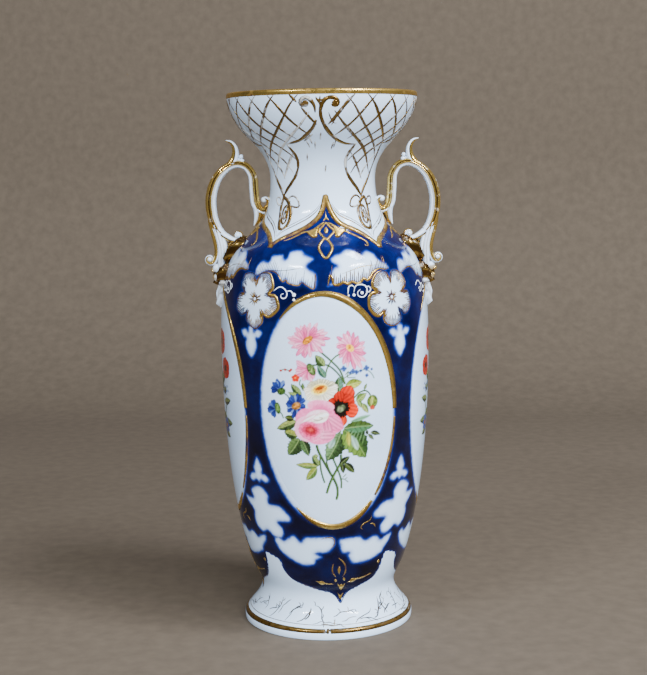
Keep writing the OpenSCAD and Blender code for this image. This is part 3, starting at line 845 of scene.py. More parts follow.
# %% The neck's ornament as drawn
half_scroll = [(-1.5, 361.5), (-0.9, 366), (0.4, 370.4), (3.2, 373.6), (6.6, 374), (9.2, 372.2),
               (9.4, 369.6), (7.4, 368.5), (5.9, 370)]
half_bow = [(-0.8, 367), (-0.6, 362), (0.6, 358), (3, 353.8), (6.6, 349.8), (11.4, 346.5),
            (17.2, 344.4), (22.4, 343.6), (28.6, 343.4)]
half_drop = [(28.6, 344), (26.8, 340.6), (24.4, 337), (23.2, 332.5), (24.4, 327.5), (28, 322.5),
             (33.7, 317.5), (39.5, 313), (44.8, 307.6)]
left_scroll = [(-4.0, 364.4), (-4.4, 368.6), (-6.4, 372.4), (-9, 374.2), (-11.6, 373.2), (-12.6, 370.6),
               (-11, 368.8), (-9.4, 370)]
left_bow = [(-3.6, 359.6), (-6, 355), (-9.7, 351.3), (-15.5, 347.5), (-21.2, 345.6), (-30.4, 344)]
fleur = [[(-0.9, 367.6), (-1.2, 371), (-0.9, 375.2)], [(-1, 370), (-2.6, 372.6), (-3.4, 374.6)],
         [(-0.8, 370), (0.9, 372.4), (1.9, 374.6)], [(-3.6, 373.4), (-0.9, 372.2), (1.9, 373.4)]]
knots = [[(-45.6, 307), (-47, 301), (-44.6, 294), (-39.8, 286.6), (-34.6, 287.2), (-32.3, 292),
          (-34, 299.4), (-38.6, 304.6), (-43, 307)],
         [(-42.6, 299), (-41.2, 292.6), (-38, 289.6), (-36, 292), (-36.8, 298), (-39.4, 302)],
         [(-39.8, 299), (-40, 294.6), (-38.6, 292.4), (-37.8, 295.4)]]
flyers = [[(42, 306), (37, 308.6), (31, 306.6), (28, 301.6), (33, 301), (39, 302.6)],
          [(50, 304), (55, 307.4), (60.6, 306.8), (57, 303), (52, 302.2)],
          [(36, 300.4), (34.6, 297), (35.4, 294.4)], [(44, 300), (40.6, 303.4), (38.8, 305.2)]]
left_of_region = np.array([(308, 44.8), (313, 39.5), (317.5, 33.7), (322.5, 28), (327.5, 24.8),
                           (332.5, 23.6), (337.5, 24.8), (341, 27), (343.4, 28.4), (344.6, 17.4),
                           (346.5, 11.6), (349.6, 6.8), (354, 3), (359, 0.8), (363, 1.5), (366, 7),
                           (369, 13), (376.5, 13)])
lattice_run = np.array([(0, 376.4), (5.2, 370), (10.4, 362.4), (16, 356), (23, 350.4), (32, 345),
                        (41, 339.6), (50, 333), (58, 325.4), (64, 318)])

# %% The trellis, cut off where the scrolls' field begins
trellis = []
for corner in (-45, 45, 135, 225):
    for way in (-1, 1):
        for start in (-61, -46, -31.5, -17, -2.5, 12, 26):
            run = curve_through(lattice_run)
            a = corner + way * (start + run[:, 0] + brush.uniform(-0.7, 0.7))
            off = abs((a + 45) % 90 - 45)
            clear = off > np.interp(run[:, 1], left_of_region[:, 0], left_of_region[:, 1]) + 0.6
            clear &= abs(a - corner) < 45
            pieces = np.split(np.arange(len(a)), np.flatnonzero(np.diff(clear.astype(int))) + 1)
            for part in pieces:
                if len(part) < 6 or not clear[part[0]]:
                    continue
                line = np.stack([a[part], run[part, 1]], 1)
                high = line[:, 1].mean()
                worn = 0.36 if high > 352 else 0.62
                trellis.append(ribbon(line[::5], brush.uniform(1.9, 2.8), worn + brush.uniform(-0.2, 0.2)))

# %% The scrolls, knots and sprays
scrolls = []
for k, shift in enumerate((0, 90, 180, 270)):
    for side in (1, -1):
        mirror = None if side == 1 else -0.9
        curled, swept = ((left_scroll, left_bow), (half_scroll, half_bow))[side == 1]
        scrolls.append(ribbon(shifted(curled, shift), 2.9, (0.5, 0.34)[side == 1], (0.3, 0.7), 0.17))
        scrolls.append(ribbon(shifted(swept, shift), 3.1, 0.36, (0.6, 0.3), 0.17))
        faded = 0.36 if side == -1 else 0.72
        scrolls.append(ribbon(shifted(half_drop[:5], shift, mirror), 2.9, faded, (0.4, 0.7), 0.16))
        scrolls.append(ribbon(shifted(half_drop[4:], shift, mirror), 2.9, 0.4, (0.7, 0.5), 0.16))
        bulb = [(7.7 + 2.1 * math.cos(b), 370.3 + 2.4 * math.sin(b)) for b in np.linspace(0, 5.5, 8)]
        scrolls.append(dab(shifted(bulb, shift, mirror), 0.45))
    for line in fleur:
        scrolls.append(ribbon(shifted(line, shift), 1.6, 0.42))
    half_way, mirror = (shift // 180) * 180, (None, 1.7)[k % 2]
    for outline, w in zip(knots, (3.0, 2.0, 1.3)):
        scrolls.append(ribbon(shifted(outline, half_way, mirror), w, 0.36, closed=True))
    for line in flyers:
        scrolls.append(ribbon(shifted(line, half_way, (1.7, None)[k % 2]), 1.6, (0.62, 0.46)[k % 2],
                              closed=len(line) > 4))
    for h, w in ((4.0, 1.1), (5.8, 0.6)):
        line = shifted(np.array(top_edge) * ((1, side_wider)[k % 2], 1), shift) + (0, h)
        scrolls.append(ribbon(line[:8], w, 0.36))
        scrolls.append(ribbon(line[-9:], w, 0.4))
    for a, h, lean_to in ((-8.3, 346, -1.4), (-10.6, 343.6, -2), (-6.2, 343, 0.6), (-1.6, 348.8, 0.8),
                          (7.6, 342.5, 1.6), (9.6, 343.6, 1.2), (2.6, 327, 1), (-15, 335, 1)):
        scrolls.append(ribbon([(a + shift, h - 2.4), (a + shift + lean_to * 0.4, h),
                               (a + shift + lean_to, h + 2.6)],
                              1.3, 0.62, (0.2, 0.3), 0.1))
    scrolls.append(ribbon(shifted([(4, 364.4), (5.4, 360.6), (7.4, 357.6), (9.6, 357.4)], shift), 1.0,
                          0.45))
    scrolls.append(ribbon(shifted([(6, 356), (7.6, 358.6), (9, 361)], shift), 0.9, 0.5))
lay_strokes("gilding_on_neck", trellis + scrolls, gilt_on_white, "worn_gilding")

# %% Gold on the rim
proud = 0.12
rim_line = [(rim_r + proud, z) for z in np.linspace(376.4, rim_h, 4)]
rim_line += [(rim_r - lip_r + (lip_r + proud) * math.cos(a), rim_h + (lip_r + proud) * math.sin(a))
             for a in np.linspace(0.2, 2.6, 12)]
rim_line += [(rim_r - lip_r + (lip_r - 0.3) * math.cos(a), rim_h + (lip_r - 0.3) * math.sin(a))
             for a in np.linspace(2.6, 0, 8)] + [(rim_r - 0.3, 376.2)]
rim_gilding = lathe("rim_gilding", rim_line, around // 2)
store(rim_gilding, "wear", np.full(len(rim_gilding.data.vertices), 0.16))
finish_piece(rim_gilding, gilt_on_cobalt, "worn_gilding")

# %% Gold lines and brown veins on the foot
full_turn = np.stack([np.arange(0, 360, 1.25), np.full(288, 6.4)], 1)
foot_gold = [ribbon(full_turn, 3.8, 0.26, closed=True, drawn=False, lift=0.2),
             ribbon(full_turn + (0, 3.4), 0.6, 0.5, closed=True, drawn=False)]
foot_marks = []
for start in np.arange(0, 360, 5.6):
    a, h = start + brush.uniform(-3, 3), brush.uniform(8.5, 15)
    vein = [(a, h)]
    heading = brush.uniform(0.2, 1.1)
    for hop in range(brush.integers(3, 7)):
        heading += brush.uniform(-0.7, 0.7)
        a, h = a + 3.1 * math.cos(heading), h + 2.6 * math.sin(heading)
        if not 8 < h < 27:
            break
        vein.append((a, h))
        if brush.uniform() < 0.45 and len(vein) > 2:
            fork = heading + brush.choice([-1.2, 1.2])
            twig = [(a, h), (a + 1.8 * math.cos(fork), h + 1.8 * math.sin(fork)),
                    (a + 3.8 * math.cos(fork + 0.4), h + 3.1 * math.sin(fork + 0.4))]
            if all(8 < p[1] < 28 for p in twig):
                foot_marks.append(ribbon(twig, 0.75, 0.5, (0.8, 0.2), 0.07))
    if len(vein) > 2:
        foot_marks.append(ribbon(vein, brush.uniform(0.7, 1.3), 0.42, (0.5, 0.2), 0.08))
marbling = gilding("brown_marbling", "#8f8270", "#57452c", "#3a2d1f")
lay_strokes("foot_marbling", foot_marks, marbling, "marbled_porcelain")
lay_strokes("foot_gold", foot_gold, gilt_on_white, "worn_gilding")

# %% [markdown]
# ## The enamel bouquets
# Each panel's flowers are overglaze enamels: translucent colours laid stroke over stroke, from the far
# leaves to the near petals, each petal pale at one end with streaks of the brush in it. They are
# painted here the same way. A fine grid is bent onto the wall, its points half a millimetre apart are
# the canvas, and each stroke mixes its colour into the points that it covers. The grid's edge sinks
# into the glaze under the gold frame.

# %% A canvas bent onto the wall
per_degree = belly_r * math.pi / 180
canvas_gap = 0.52
# Shares of the oval's half sizes: points past cut_at are removed, and those past sunk_at lie in the glaze.
cut_at, sunk_at = 0.962, 0.95


def srgb(hex_colour):
    return np.array([int(hex_colour[i:i + 2], 16) / 255 for i in (1, 3, 5)])


def canvas(name, at):
    """An oval grid of points over one panel. Returns it with each point's place in mm."""
    wide, high = oval_x * per_degree, oval_h
    bpy.ops.object.select_all(action="DESELECT")
    bpy.ops.mesh.primitive_grid_add(x_subdivisions=round(2 * wide / canvas_gap),
                                    y_subdivisions=round(2 * high / canvas_gap), size=2)
    obj = bpy.context.object
    obj.name = obj.data.name = name
    u, v = points_of(obj).T[:2]
    outside = np.hypot(u, v) > cut_at
    bpy.ops.object.mode_set(mode="EDIT")
    bpy.ops.mesh.select_mode(type="VERT")
    bpy.ops.mesh.select_all(action="DESELECT")
    bpy.ops.object.mode_set(mode="OBJECT")
    obj.data.vertices.foreach_set("select", outside)
    bpy.ops.object.mode_set(mode="EDIT")
    bpy.ops.mesh.delete(type="VERT")
    bpy.ops.object.mode_set(mode="OBJECT")
    u, v = points_of(obj).T[:2]
    theta = oval_at + oval_x * u - oval_tilt * oval_h * v
    z = oval_z + oval_h * v
    lift = np.where(np.hypot(u, v) > sunk_at, -0.03, 0.07)
    obj.data.vertices.foreach_set("co", on_vase(theta + at, z, lift).ravel())
    obj.data.shade_smooth()
    return obj, theta * per_degree, z

# %% A painting, with the grain of its colour
def noise_over(x, z, size, seed):
    """Smooth random values from 0 to 1 over the canvas, size mm across."""
    grid = np.random.default_rng(seed).uniform(0, 1, (64, 64))
    a, b = (x + 200) / size % 63, (z + 200) / size % 63
    i, j = a.astype(int), b.astype(int)
    f, g = a - i, b - j
    f, g = f * f * (3 - 2 * f), g * g * (3 - 2 * g)
    return ((grid[i, j] * (1 - f) + grid[i + 1, j] * f) * (1 - g)
            + (grid[i, j + 1] * (1 - f) + grid[i + 1, j + 1] * f) * g)


class Painting:
    """The colours of a canvas while it is painted, in sRGB."""

    def __init__(self, x, z, sway=0.0, flip=1):
        self.x, self.z = x * flip, z
        self.x = self.x - sway * (z - 160)
        self.rgb = np.ones((len(x), 3)) * srgb(glaze_white)
        cloud = noise_over(x, z, 17, 3)[:, None]
        self.rgb += (srgb(glaze_shade) - self.rgb) * cloud * 0.5
        self.grain = noise_over(x, z, 0.9, 5)

    def lay(self, spot, cover, colour):
        cover = np.clip(cover, 0, 1)[:, None]
        self.rgb[spot] += cover * (np.clip(colour, 0, 1) - self.rgb[spot])

    def near(self, x, z, reach):
        return np.flatnonzero((abs(self.x - x) < reach) & (abs(self.z - z) < reach))


# %% A petal and a leaf
# A stroke's edge fades over this many millimetres.
soft = 0.42


def petal(p, base, tip, width, root_tint, tip_tint, streaks=3, full=0.62, cover=0.95, rim=None, blunt=0.6):
    """One petal from base to tip, (angle, height) each: widest at full of its length."""
    bx, tx = base[0] * per_degree, tip[0] * per_degree
    dx, dz = tx - bx, tip[1] - base[1]
    long = math.hypot(dx, dz)
    spot = p.near((bx + tx) / 2, (base[1] + tip[1]) / 2, long / 2 + width)
    x, z = p.x[spot] - bx, p.z[spot] - base[1]
    s = (x * dx + z * dz) / long ** 2
    t = (-x * dz + z * dx) / long / (width / 2)
    bell = np.sin(math.pi * np.clip(s, 0, 1) ** (math.log(0.5) / math.log(full))) ** blunt
    room = (bell - abs(t)) * width / 2
    room = np.where((s < 0) | (s > 1), -1, np.minimum(room, np.minimum(s, 1 - s) * long + soft / 2))
    brushed = 0.5 + 0.5 * np.sin(t * streaks * math.pi + s * 2.2 + bx)
    a, b = srgb(root_tint), srgb(tip_tint)
    colour = a + (b - a) * np.clip(s * 1.1, 0, 1)[:, None]
    colour = colour * (1 - 0.13 * brushed[:, None]) + 0.05 * (p.grain[spot][:, None] - 0.3)
    if rim:
        edge = np.clip(1 - room / 0.75, 0, 1)[:, None]
        colour = colour + (srgb(rim) - colour) * edge * 0.7
    p.lay(spot, cover * (room / soft + 0.5), colour)


def leaf(p, base, tip, width, light, dark, lean=0.0, teeth=0, ribs=5, full=0.45, cover=0.96):
    """A leaf with a pale middle rib, darker side ribs and one side in shade."""
    bx, tx = base[0] * per_degree, tip[0] * per_degree
    dx, dz = tx - bx, tip[1] - base[1]
    long = math.hypot(dx, dz)
    spot = p.near((bx + tx) / 2, (base[1] + tip[1]) / 2, long / 2 + width)
    x, z = p.x[spot] - bx, p.z[spot] - base[1]
    s = (x * dx + z * dz) / long ** 2
    t = (-x * dz + z * dx) / long / (width / 2) - lean * np.sin(math.pi * np.clip(s, 0, 1))
    bell = np.sin(math.pi * np.clip(s, 0, 1) ** (math.log(0.5) / math.log(full))) ** 0.8
    if teeth:
        bell = bell * (0.93 + 0.07 * np.cos(s * teeth * 2 * math.pi))
    room = np.where((s < 0) | (s > 1), -1, (bell - abs(t)) * width / 2)
    a, b = srgb(light), srgb(dark)
    shade = np.clip(0.45 + 0.5 * np.tanh(t * 3) + 0.5 * (p.grain[spot] - 0.5), 0, 1)
    colour = a + (b - a) * shade[:, None]
    rib = np.exp(-(np.sin((s * ribs - abs(t) * 0.9) * math.pi) / 0.28) ** 2) * (abs(t) > 0.08)
    colour = colour * (1 - 0.2 * rib[:, None])
    middle = np.exp(-(t * width / 2 / 0.32) ** 2) * (s < 0.94)
    colour = colour + (srgb("#c9d6b0") - colour) * middle[:, None] * 0.55
    edge = np.clip(1 - room / 0.6, 0, 1)[:, None]
    colour = colour + (b * 0.72 - colour) * edge * 0.5
    p.lay(spot, cover * (room / soft + 0.5), colour)

# %% A stalk, a disc and a daisy
def stalk(p, path, width, light="#7d9a68", dark="#3c5537"):
    """A stem along a drawn path, light on one side."""
    line = curve_through(path) * (per_degree, 1)
    middle, reach = line.mean(0), np.ptp(line, 0).max() / 2 + 3
    spot = p.near(middle[0], middle[1], reach)
    d = line_distance(p.x[spot], p.z[spot], line[::2] if len(line) > 16 else line)
    lit = line_distance(p.x[spot] + 0.3, p.z[spot] - 0.2, line[::2] if len(line) > 16 else line)
    colour = srgb(dark) + (srgb(light) - srgb(dark)) * np.clip((lit - d) * 1.6 + 0.45, 0, 1)[:, None]
    p.lay(spot, (width / 2 - d) / soft + 0.5, colour)


def disc(p, at, wide, high, turn, inner, outer, cover=1.0, grainy=0.3):
    """An oval of colour that goes from inner to outer, such as a flower's eye or a bud."""
    spot = p.near(at[0] * per_degree, at[1], max(wide, high) + 2)
    x, z = p.x[spot] - at[0] * per_degree, p.z[spot] - at[1]
    c, s = math.cos(math.radians(turn)), math.sin(math.radians(turn))
    far = np.hypot((x * c + z * s) / wide, (-x * s + z * c) / high)
    colour = srgb(inner) + (srgb(outer) - srgb(inner)) * np.clip(far, 0, 1)[:, None]
    colour = colour + grainy * (p.grain[spot][:, None] - 0.5)
    p.lay(spot, cover * ((1 - far) * min(wide, high) / soft + 0.5), colour)


def daisy(p, at, reach, squash, turn, count, tints, eye, eye_tints, seed, width=2.6):
    """Petals in two rounds about an oval eye; reach gives the petals' length by direction."""
    hand = np.random.default_rng(seed)
    for layer, size in ((0, 1.0), (1, 0.8)):
        for k in range(count):
            a = 2 * math.pi * (k + 0.5 * layer) / count + hand.uniform(-0.12, 0.12)
            long = size * np.interp(math.degrees(a) % 360, np.linspace(0, 360, len(reach)), reach)
            long *= hand.uniform(0.86, 1.08)
            c, s = math.cos(math.radians(turn)), math.sin(math.radians(turn))
            ex, ez = math.cos(a) * eye[0] * 0.6, math.sin(a) * eye[1] * 0.6
            root = (at[0] + (ex * c - ez * s) / per_degree, at[1] + ex * s + ez * c)
            tip = (at[0] + math.cos(a) * long / per_degree, at[1] + math.sin(a) * long * squash)
            tint = tints[hand.integers(0, len(tints))]
            petal(p, root, tip, width * hand.uniform(0.85, 1.2), tint[0], tint[1], 2, 0.68, 0.92, tint[2])
    disc(p, at, eye[0], eye[1], turn, *eye_tints)


print("canvas points", canvas_gap, "mm apart,", round(per_degree, 3), "mm to a degree")

# %% The front bouquet, from the far leaves to the near petals
pink = [("#e58fb8", "#f0bdd8", "#d178a8"), ("#d66da0", "#eba6cb", "#bd5a92"),
        ("#efb0d2", "#f7d6e8", "#dd8fbc")]
leaf_light, leaf_mid, leaf_dark, blue_green = "#a9bd86", "#7f9a64", "#46603c", "#7fa899"


def posy(p):
    """Daisies, cornflowers, a rose and a poppy on crossing stems."""
    for path, width in (([(-2.9, 206.4), (0, 203), (3.1, 199.3), (7.5, 193), (10.2, 183.6)], 1.2),
                        ([(7.8, 204), (5.4, 202.4), (3.1, 199.3), (0.9, 194.3), (0, 188.6)], 0.9),
                        ([(-6.2, 196.6), (-2.4, 197.2), (1, 196.6), (3.6, 194.6), (7, 190), (9.8, 184)],
                         1.1),
                        ([(9, 187), (12.6, 189.6), (17, 191.6), (21.4, 192.6), (24.6, 189.8),
                          (26.2, 186.4)], 0.5),
                        ([(10.6, 190), (12, 192), (11.6, 188), (15.6, 187.8)], 0.5),
                        ([(-24, 192.4), (-21.4, 193.6), (-18.6, 192.2)], 0.5),
                        ([(-13, 186.6), (-13.6, 184), (-12.4, 181)], 0.6),
                        ([(15.2, 174), (17.4, 176.8), (20.7, 178.2), (22.8, 177), (24, 175)], 1.0),
                        ([(20.6, 178), (21, 181), (21.8, 182.6)], 0.7),
                        ([(-23, 177.6), (-20.4, 175.4), (-18.6, 172)], 0.8),
                        ([(-26, 165), (-24, 162.6), (-23.2, 160)], 0.8),
                        ([(7.7, 151), (6, 149), (4.4, 147.6)], 0.9),
                        ([(-5.1, 141), (-4.2, 137), (-1.9, 131), (1.3, 123.3), (3.9, 117.5), (5.8, 111.7),
                          (6.1, 106.7), (5.5, 103.3)], 1.8),
                        ([(7.9, 134), (7.7, 129), (4.5, 121.7), (1.9, 115), (0, 108)], 1.7),
                        ([(-3.6, 134), (-3.2, 125), (-2.2, 119), (-1.3, 115.4)], 1.2),
                        ([(3.4, 134), (3.9, 131), (6.4, 123.3), (8, 116.7), (8.2, 111.3)], 1.3),
                        ([(8, 117.5), (10, 117), (12, 115)], 0.5),
                        ([(-0.2, 134), (0.4, 128), (2.2, 121)], 1.0),
                        ([(9, 118.6), (10.8, 120.6)], 0.5), ([(9.8, 117), (11.4, 118.2)], 0.4)):
        stalk(p, path, width)
    for base, tip, width, light, dark in (((-0.2, 196), (-5, 203.5), 6.0, leaf_light, leaf_dark),
                                          ((0.2, 188), (-4, 196.6), 4.6, blue_green, "#4c7466"),
                                          ((-12.8, 176.4), (-18.3, 183.6), 5, leaf_light, leaf_dark),
                                          ((-13, 174.6), (-20, 178), 3.8, leaf_light, leaf_mid),
                                          ((-11.4, 179), (-12, 184.6), 2.4, leaf_mid, leaf_dark),
                                          ((7.4, 178), (6.8, 188.4), 6, blue_green, leaf_dark),
                                          ((10.4, 182), (19.4, 184.4), 6.6, "#c9d184", "#8fa052"),
                                          ((16, 171), (21.8, 176.4), 5.2, leaf_light, leaf_mid),
                                          ((19, 169.6), (22.9, 162.6), 4, "#b9c08c", leaf_mid),
                                          ((17, 172), (19, 166.6), 3.2, leaf_light, leaf_mid),
                                          ((-15.4, 158), (-27.2, 152), 6.6, "#b8c488", leaf_dark),
                                          ((-17, 160), (-22.4, 160.4), 4.4, "#6e7f44", "#46502e"),
                                          ((-15.2, 148), (-23, 150.4), 7.4, "#b4bd72", leaf_dark),
                                          ((-14.4, 146), (-21.2, 134), 11.4, "#86a071", leaf_dark),
                                          ((-13.3, 145.6), (-9.6, 134), 7.6, "#7b9a72", "#3d5636"),
                                          ((7.9, 150), (0.2, 130.6), 14, "#8fae8a", leaf_dark),
                                          ((9.4, 152.4), (22, 131.6), 18.5, "#8eaa66", "#476842"),
                                          ((9.4, 152.8), (26.2, 153.4), 9.4, "#6f9c7d", "#667c45"),
                                          ((-4.4, 134), (-7.4, 134), 3, leaf_light, leaf_mid),
                                          ((-4.6, 127), (-17, 127.6), 4.6, "#b3bb76", leaf_mid),
                                          ((-5.4, 126), (-11.6, 116.7), 5.8, "#a9b468", leaf_mid),
                                          ((-4, 127), (-7.6, 134.4), 4.6, leaf_light, leaf_dark),
                                          ((7.5, 128), (12.7, 133), 4.2, "#5b6f44", "#2f3d28"),
                                          ((8.3, 128.5), (9.2, 121.5), 3.8, "#566b40", "#2f3d28"),
                                          ((9.8, 128.6), (15.6, 121.4), 5, "#6c7f4c", "#37452c"),
                                          ((24.4, 149), (30.4, 146.8), 3.2, "#5f6f50", "#39452f"),
                                          ((23, 147.8), (26.4, 143.6), 2.4, "#6c7f5c", "#45543a"),
                                          ((22.4, 147.6), (22.6, 150.8), 2.2, "#3f4a3a", "#262e24")):
        leaf(p, base, tip, width, light, dark, 0.12, 7 if width > 7 else 0, 6 if width > 7 else 4)
    for k in range(6):
        petal(p, (10 + k * 1.9, 147.6 - k * 1.4), (13 + k * 1.7, 151.4 - k * 0.2), 1.3, "#b6cf9b",
              "#a8c6b4", 1, 0.5, 0.35)
    petal(p, (13.4, 148), (17.4, 137), 5.4, "#a7c9c2", "#c2ddd6", 2, 0.5, 0.35)
    petal(p, (11.6, 151), (12.4, 140), 4.6, "#b9bf5c", "#cfd07a", 2, 0.5, 0.25)
    petal(p, (4, 147), (1.6, 139), 5, "#9fc2bd", "#bcd6d0", 2, 0.5, 0.5)
    petal(p, (24.4, 161), (13, 157.4), 3.4, "#9cc4ae", "#8db79c", 2, 0.5, 0.4)
    hand = np.random.default_rng(11)
    for k in range(12):
        a = math.radians(150 + k * 18)
        long = hand.uniform(7.6, 9.6)
        petal(p, (-8.4, 195), (-9.4 + math.cos(a) * 6.4 / per_degree, 194 + math.sin(a) * long), 3.4,
              pink[k % 3][0], pink[k % 3][1], 2, 0.66, 0.9, pink[k % 3][2])
    for k in range(6):
        petal(p, (-8.4, 194.6), (-15.4 + hand.uniform(-0.6, 0.8), 189 + 2.1 * k), 3.2, pink[k % 3][0],
              pink[(k + 1) % 3][1], 2, 0.66, 0.9, pink[k % 3][2])
    disc(p, (-7.3, 193.9), 2.6, 4.4, 28, "#a3b586", "#5b7549")
    daisy(p, (-9, 213.6), [16.2, 12.6, 12.6, 11.6, 11.6, 11.6, 15.6, 14.4, 12.8, 12.2, 11.2, 13.2, 16.2],
          1.0, 36, 19, pink, (4.0, 2.2), ("#dfae3e", "#b98e34"), 21, 2.9)
    daisy(p, (13, 207.9), [11.4, 9.8, 10.4, 10.8, 13, 10.8, 9, 9.6, 11.2, 14.4, 16, 14.6, 11.4], 1.0, -42,
          18, pink, (3.1, 2.2), ("#d9a73a", "#efd07a"), 22, 2.7)
    for at, size in (((9.5, 194), 1.7), ((14.4, 192), 1.5), ((16.3, 191.2), 1.4), ((21.8, 193.6), 1.7),
                     ((22, 188.6), 1.1), ((18.6, 192), 0.9), ((12.9, 191), 0.9), ((24.8, 192.6), 0.8)):
        for k in range(4):
            a = math.radians(45 + k * 90 + size * 30)
            disc(p, (at[0] + math.cos(a) * size * 0.55, at[1] + math.sin(a) * size * 0.7), size * 0.62,
                 size * 0.55, 0, "#5a6ea8", "#6f92c4", 0.9, 0.1)
        disc(p, at, 0.4, 0.4, 0, "#2b3766", "#2b3766", 0.9, 0)
    for at in ((-23.8, 192.5), (-21.3, 193.2), (-18.8, 192.5), (-18, 193.4)):
        disc(p, at, 0.9, 0.8, 0, "#a8402c", "#c9654f", 0.9, 0.1)
    for k in range(5):
        a = math.radians(90 + 72 * k)
        disc(p, (-15.7 + math.cos(a) * 1.25, 187.7 + math.sin(a) * 1.6), 1.35, 1.2, 0, "#c43f22", "#dd6a45",
             0.95, 0.1)
    disc(p, (-15.7, 187.7), 0.8, 0.8, 0, "#f0b070", "#e08a50")
    hand = np.random.default_rng(31)
    blue_tints = [("#3b4f9a", "#5a7cc4", "#2c3a7c"), ("#2c3b86", "#4a64b4", "#232c66"),
                  ("#6f90cf", "#9db9e2", "#4d6cb4")]
    for at, aim, spread, count, long in (((-24.4, 179), 120, 66, 11, 7.6), ((-27.4, 166), 178, 78, 11, 6.6),
                                         ((-15.7, 168.6), 225, 180, 22, 8.4)):
        for k in range(count):
            a = math.radians(aim + spread * (2 * k / (count - 1) - 1) + hand.uniform(-7, 7))
            far = long * hand.uniform(0.78, 1.08)
            tint = blue_tints[hand.integers(0, 3)]
            petal(p, at, (at[0] + math.cos(a) * far / per_degree, at[1] + math.sin(a) * far), 2.6, tint[0],
                  tint[1], 2, 0.76, 0.95, tint[2])
    disc(p, (-23.8, 178.2), 3.2, 2.4, 20, "#8ba66a", "#4f7040")
    disc(p, (-26.2, 166.4), 2.2, 4.0, 10, "#8ba66a", "#5c7b4b")
    disc(p, (-15.7, 168.6), 3.4, 2.5, 25, "#cf9a48", "#a98f63")
    for k in range(34):
        a = 2 * math.pi * k / 34 + hand.uniform(-0.05, 0.05)
        far = hand.uniform(0.93, 1.05)
        x, h = 12.2 * math.cos(a) * far, 8.8 * math.sin(a) * far
        turned = (x * 0.966 - h * 0.259 * 0.4, x * 0.259 * 0.5 + h)
        tint = ("#f1f0dc", "#ffffff", "#b9bdb0") if h < 3 else ("#cfcfae", "#e9ebdd", "#8f9484")
        petal(p, (-2.9 + x * 0.25 / per_degree, 180 + h * 0.25),
              (-2.4 + turned[0] / per_degree, 178.6 + turned[1]),
              2.7, tint[0], tint[1], 2, 0.7, 0.96, tint[2])
    disc(p, (-3.2, 180.2), 6.2, 3.9, 16, "#eadb86", "#f2edc4", 0.8, 0.15)
    disc(p, (-2.9, 180.4), 4.9, 2.9, 16, "#d39a2c", "#e8c95a")
    disc(p, (-3, 181.2), 2.9, 1.2, 18, "#9a5a1e", "#b9791f")
    for base, tip, width, a, b in (((7, 168), (0.6, 171.4), 9.5, "#a62d12", "#cf4218"),
                                   ((8.4, 170), (13.4, 182), 10.5, "#c8380f", "#e25a1f"),
                                   ((8, 170), (6.4, 178.6), 8, "#b4330f", "#d24a1a"),
                                   ((9, 169), (14.6, 174.6), 10, "#b93210", "#d44a1a"),
                                   ((8, 165), (7.6, 154.2), 9, "#d24e1c", "#e8743c"),
                                   ((9, 166), (17.4, 164.6), 10.5, "#cf4416", "#e9692f"),
                                   ((6, 165.4), (3.2, 158.6), 8, "#b93a18", "#cc4a20")):
        petal(p, base, tip, width, a, b, 4, 0.6, 0.96, "#7c1f0c", 0.6)
    for k in range(20):
        a = 2 * math.pi * k / 20
        far = 6.4 * hand.uniform(0.7, 1.1)
        petal(p, (8, 167), (7.8 + math.cos(a) * far / per_degree, 167 + math.sin(a) * far), 2.2, "#1d120e",
              "#2a1812", 1, 0.5, 0.9)
    disc(p, (8, 166.8), 3.4, 2.5, 32, "#a9b294", "#5d6c58")
    for at, wide, high, turn, a, b in (((-2.6, 168.6), 9.4, 4.4, -6, "#e59ac4", "#f0b9d8"),
                                       ((-10.6, 160), 7.6, 7, 40, "#ecacd0", "#e79cc8"),
                                       ((-1.4, 165), 8.2, 4.2, -14, "#d577ab", "#e7a0c8"),
                                       ((2.4, 157), 8.6, 7, -30, "#f3bcd9", "#e994c2"),
                                       ((-9, 153), 10.4, 9.2, 0, "#eda4ca", "#f5c8e0"),
                                       ((-3, 149.6), 10.6, 7.4, 10, "#f0b0d2", "#eba0ca"),
                                       ((-4.6, 161.6), 8.2, 4.6, 12, "#fbeef5", "#f6d6e8")):
        disc(p, at, wide, high, turn, a, b, 0.97, 0.07)
    petal(p, (-0.6, 160.6), (9.1, 152.8), 9.4, "#f0b4d4", "#ee9dc8", 4, 0.5, 0.95, "#c766a0", 0.6)
    petal(p, (-0.2, 160.2), (2, 146.6), 6.2, "#e58fbe", "#f2b6d6", 3, 0.5, 0.9, "#c766a0")
    petal(p, (-4, 148), (4.4, 149), 7.6, "#f3c0dc", "#eda6cc", 3, 0.5, 0.9, "#d27aac")
    petal(p, (-15.4, 153.6), (-3, 162.6), 6.6, "#f9dcec", "#fdf6fa", 3, 0.6, 0.9, "#e0a0c6")
    petal(p, (-8, 157.8), (1.4, 163.2), 7.6, "#fdf4f9", "#ffffff", 2, 0.6, 0.9, "#e6b4d2")
    for at, wide, high, turn, tint in (((-8.6, 151.6), 8.2, 6.4, -14, "#e78fbd"),
                                       ((-8.4, 151.8), 6.6, 5.0, -14, "#dd7aa8"),
                                       ((-8.6, 152), 5.2, 3.9, -10, "#cc5f86"),
                                       ((-8.2, 152), 3.6, 2.6, -18, "#b8485f"),
                                       ((-8, 152.2), 1.9, 1.2, -18, "#c96a68")):
        disc(p, at, wide, high, turn, tint, tint, 0.85, 0.14)
    for k in range(7):
        a = math.radians(200 + k * 26)
        stalk(p, [(-8.4 + math.cos(b) * (6.8 + k % 3) / per_degree, 151.6 + math.sin(b) * (5.2 + k % 3))
                  for b in (a, a + 0.5, a + 1.0)], 0.5, "#f7cfe4", "#d277a8")
    stalk(p, [(-6.4, 159.6), (-4, 158.8), (-1.8, 160.2), (-3.4, 161)], 0.45, "#a9a9a0", "#8f9488")
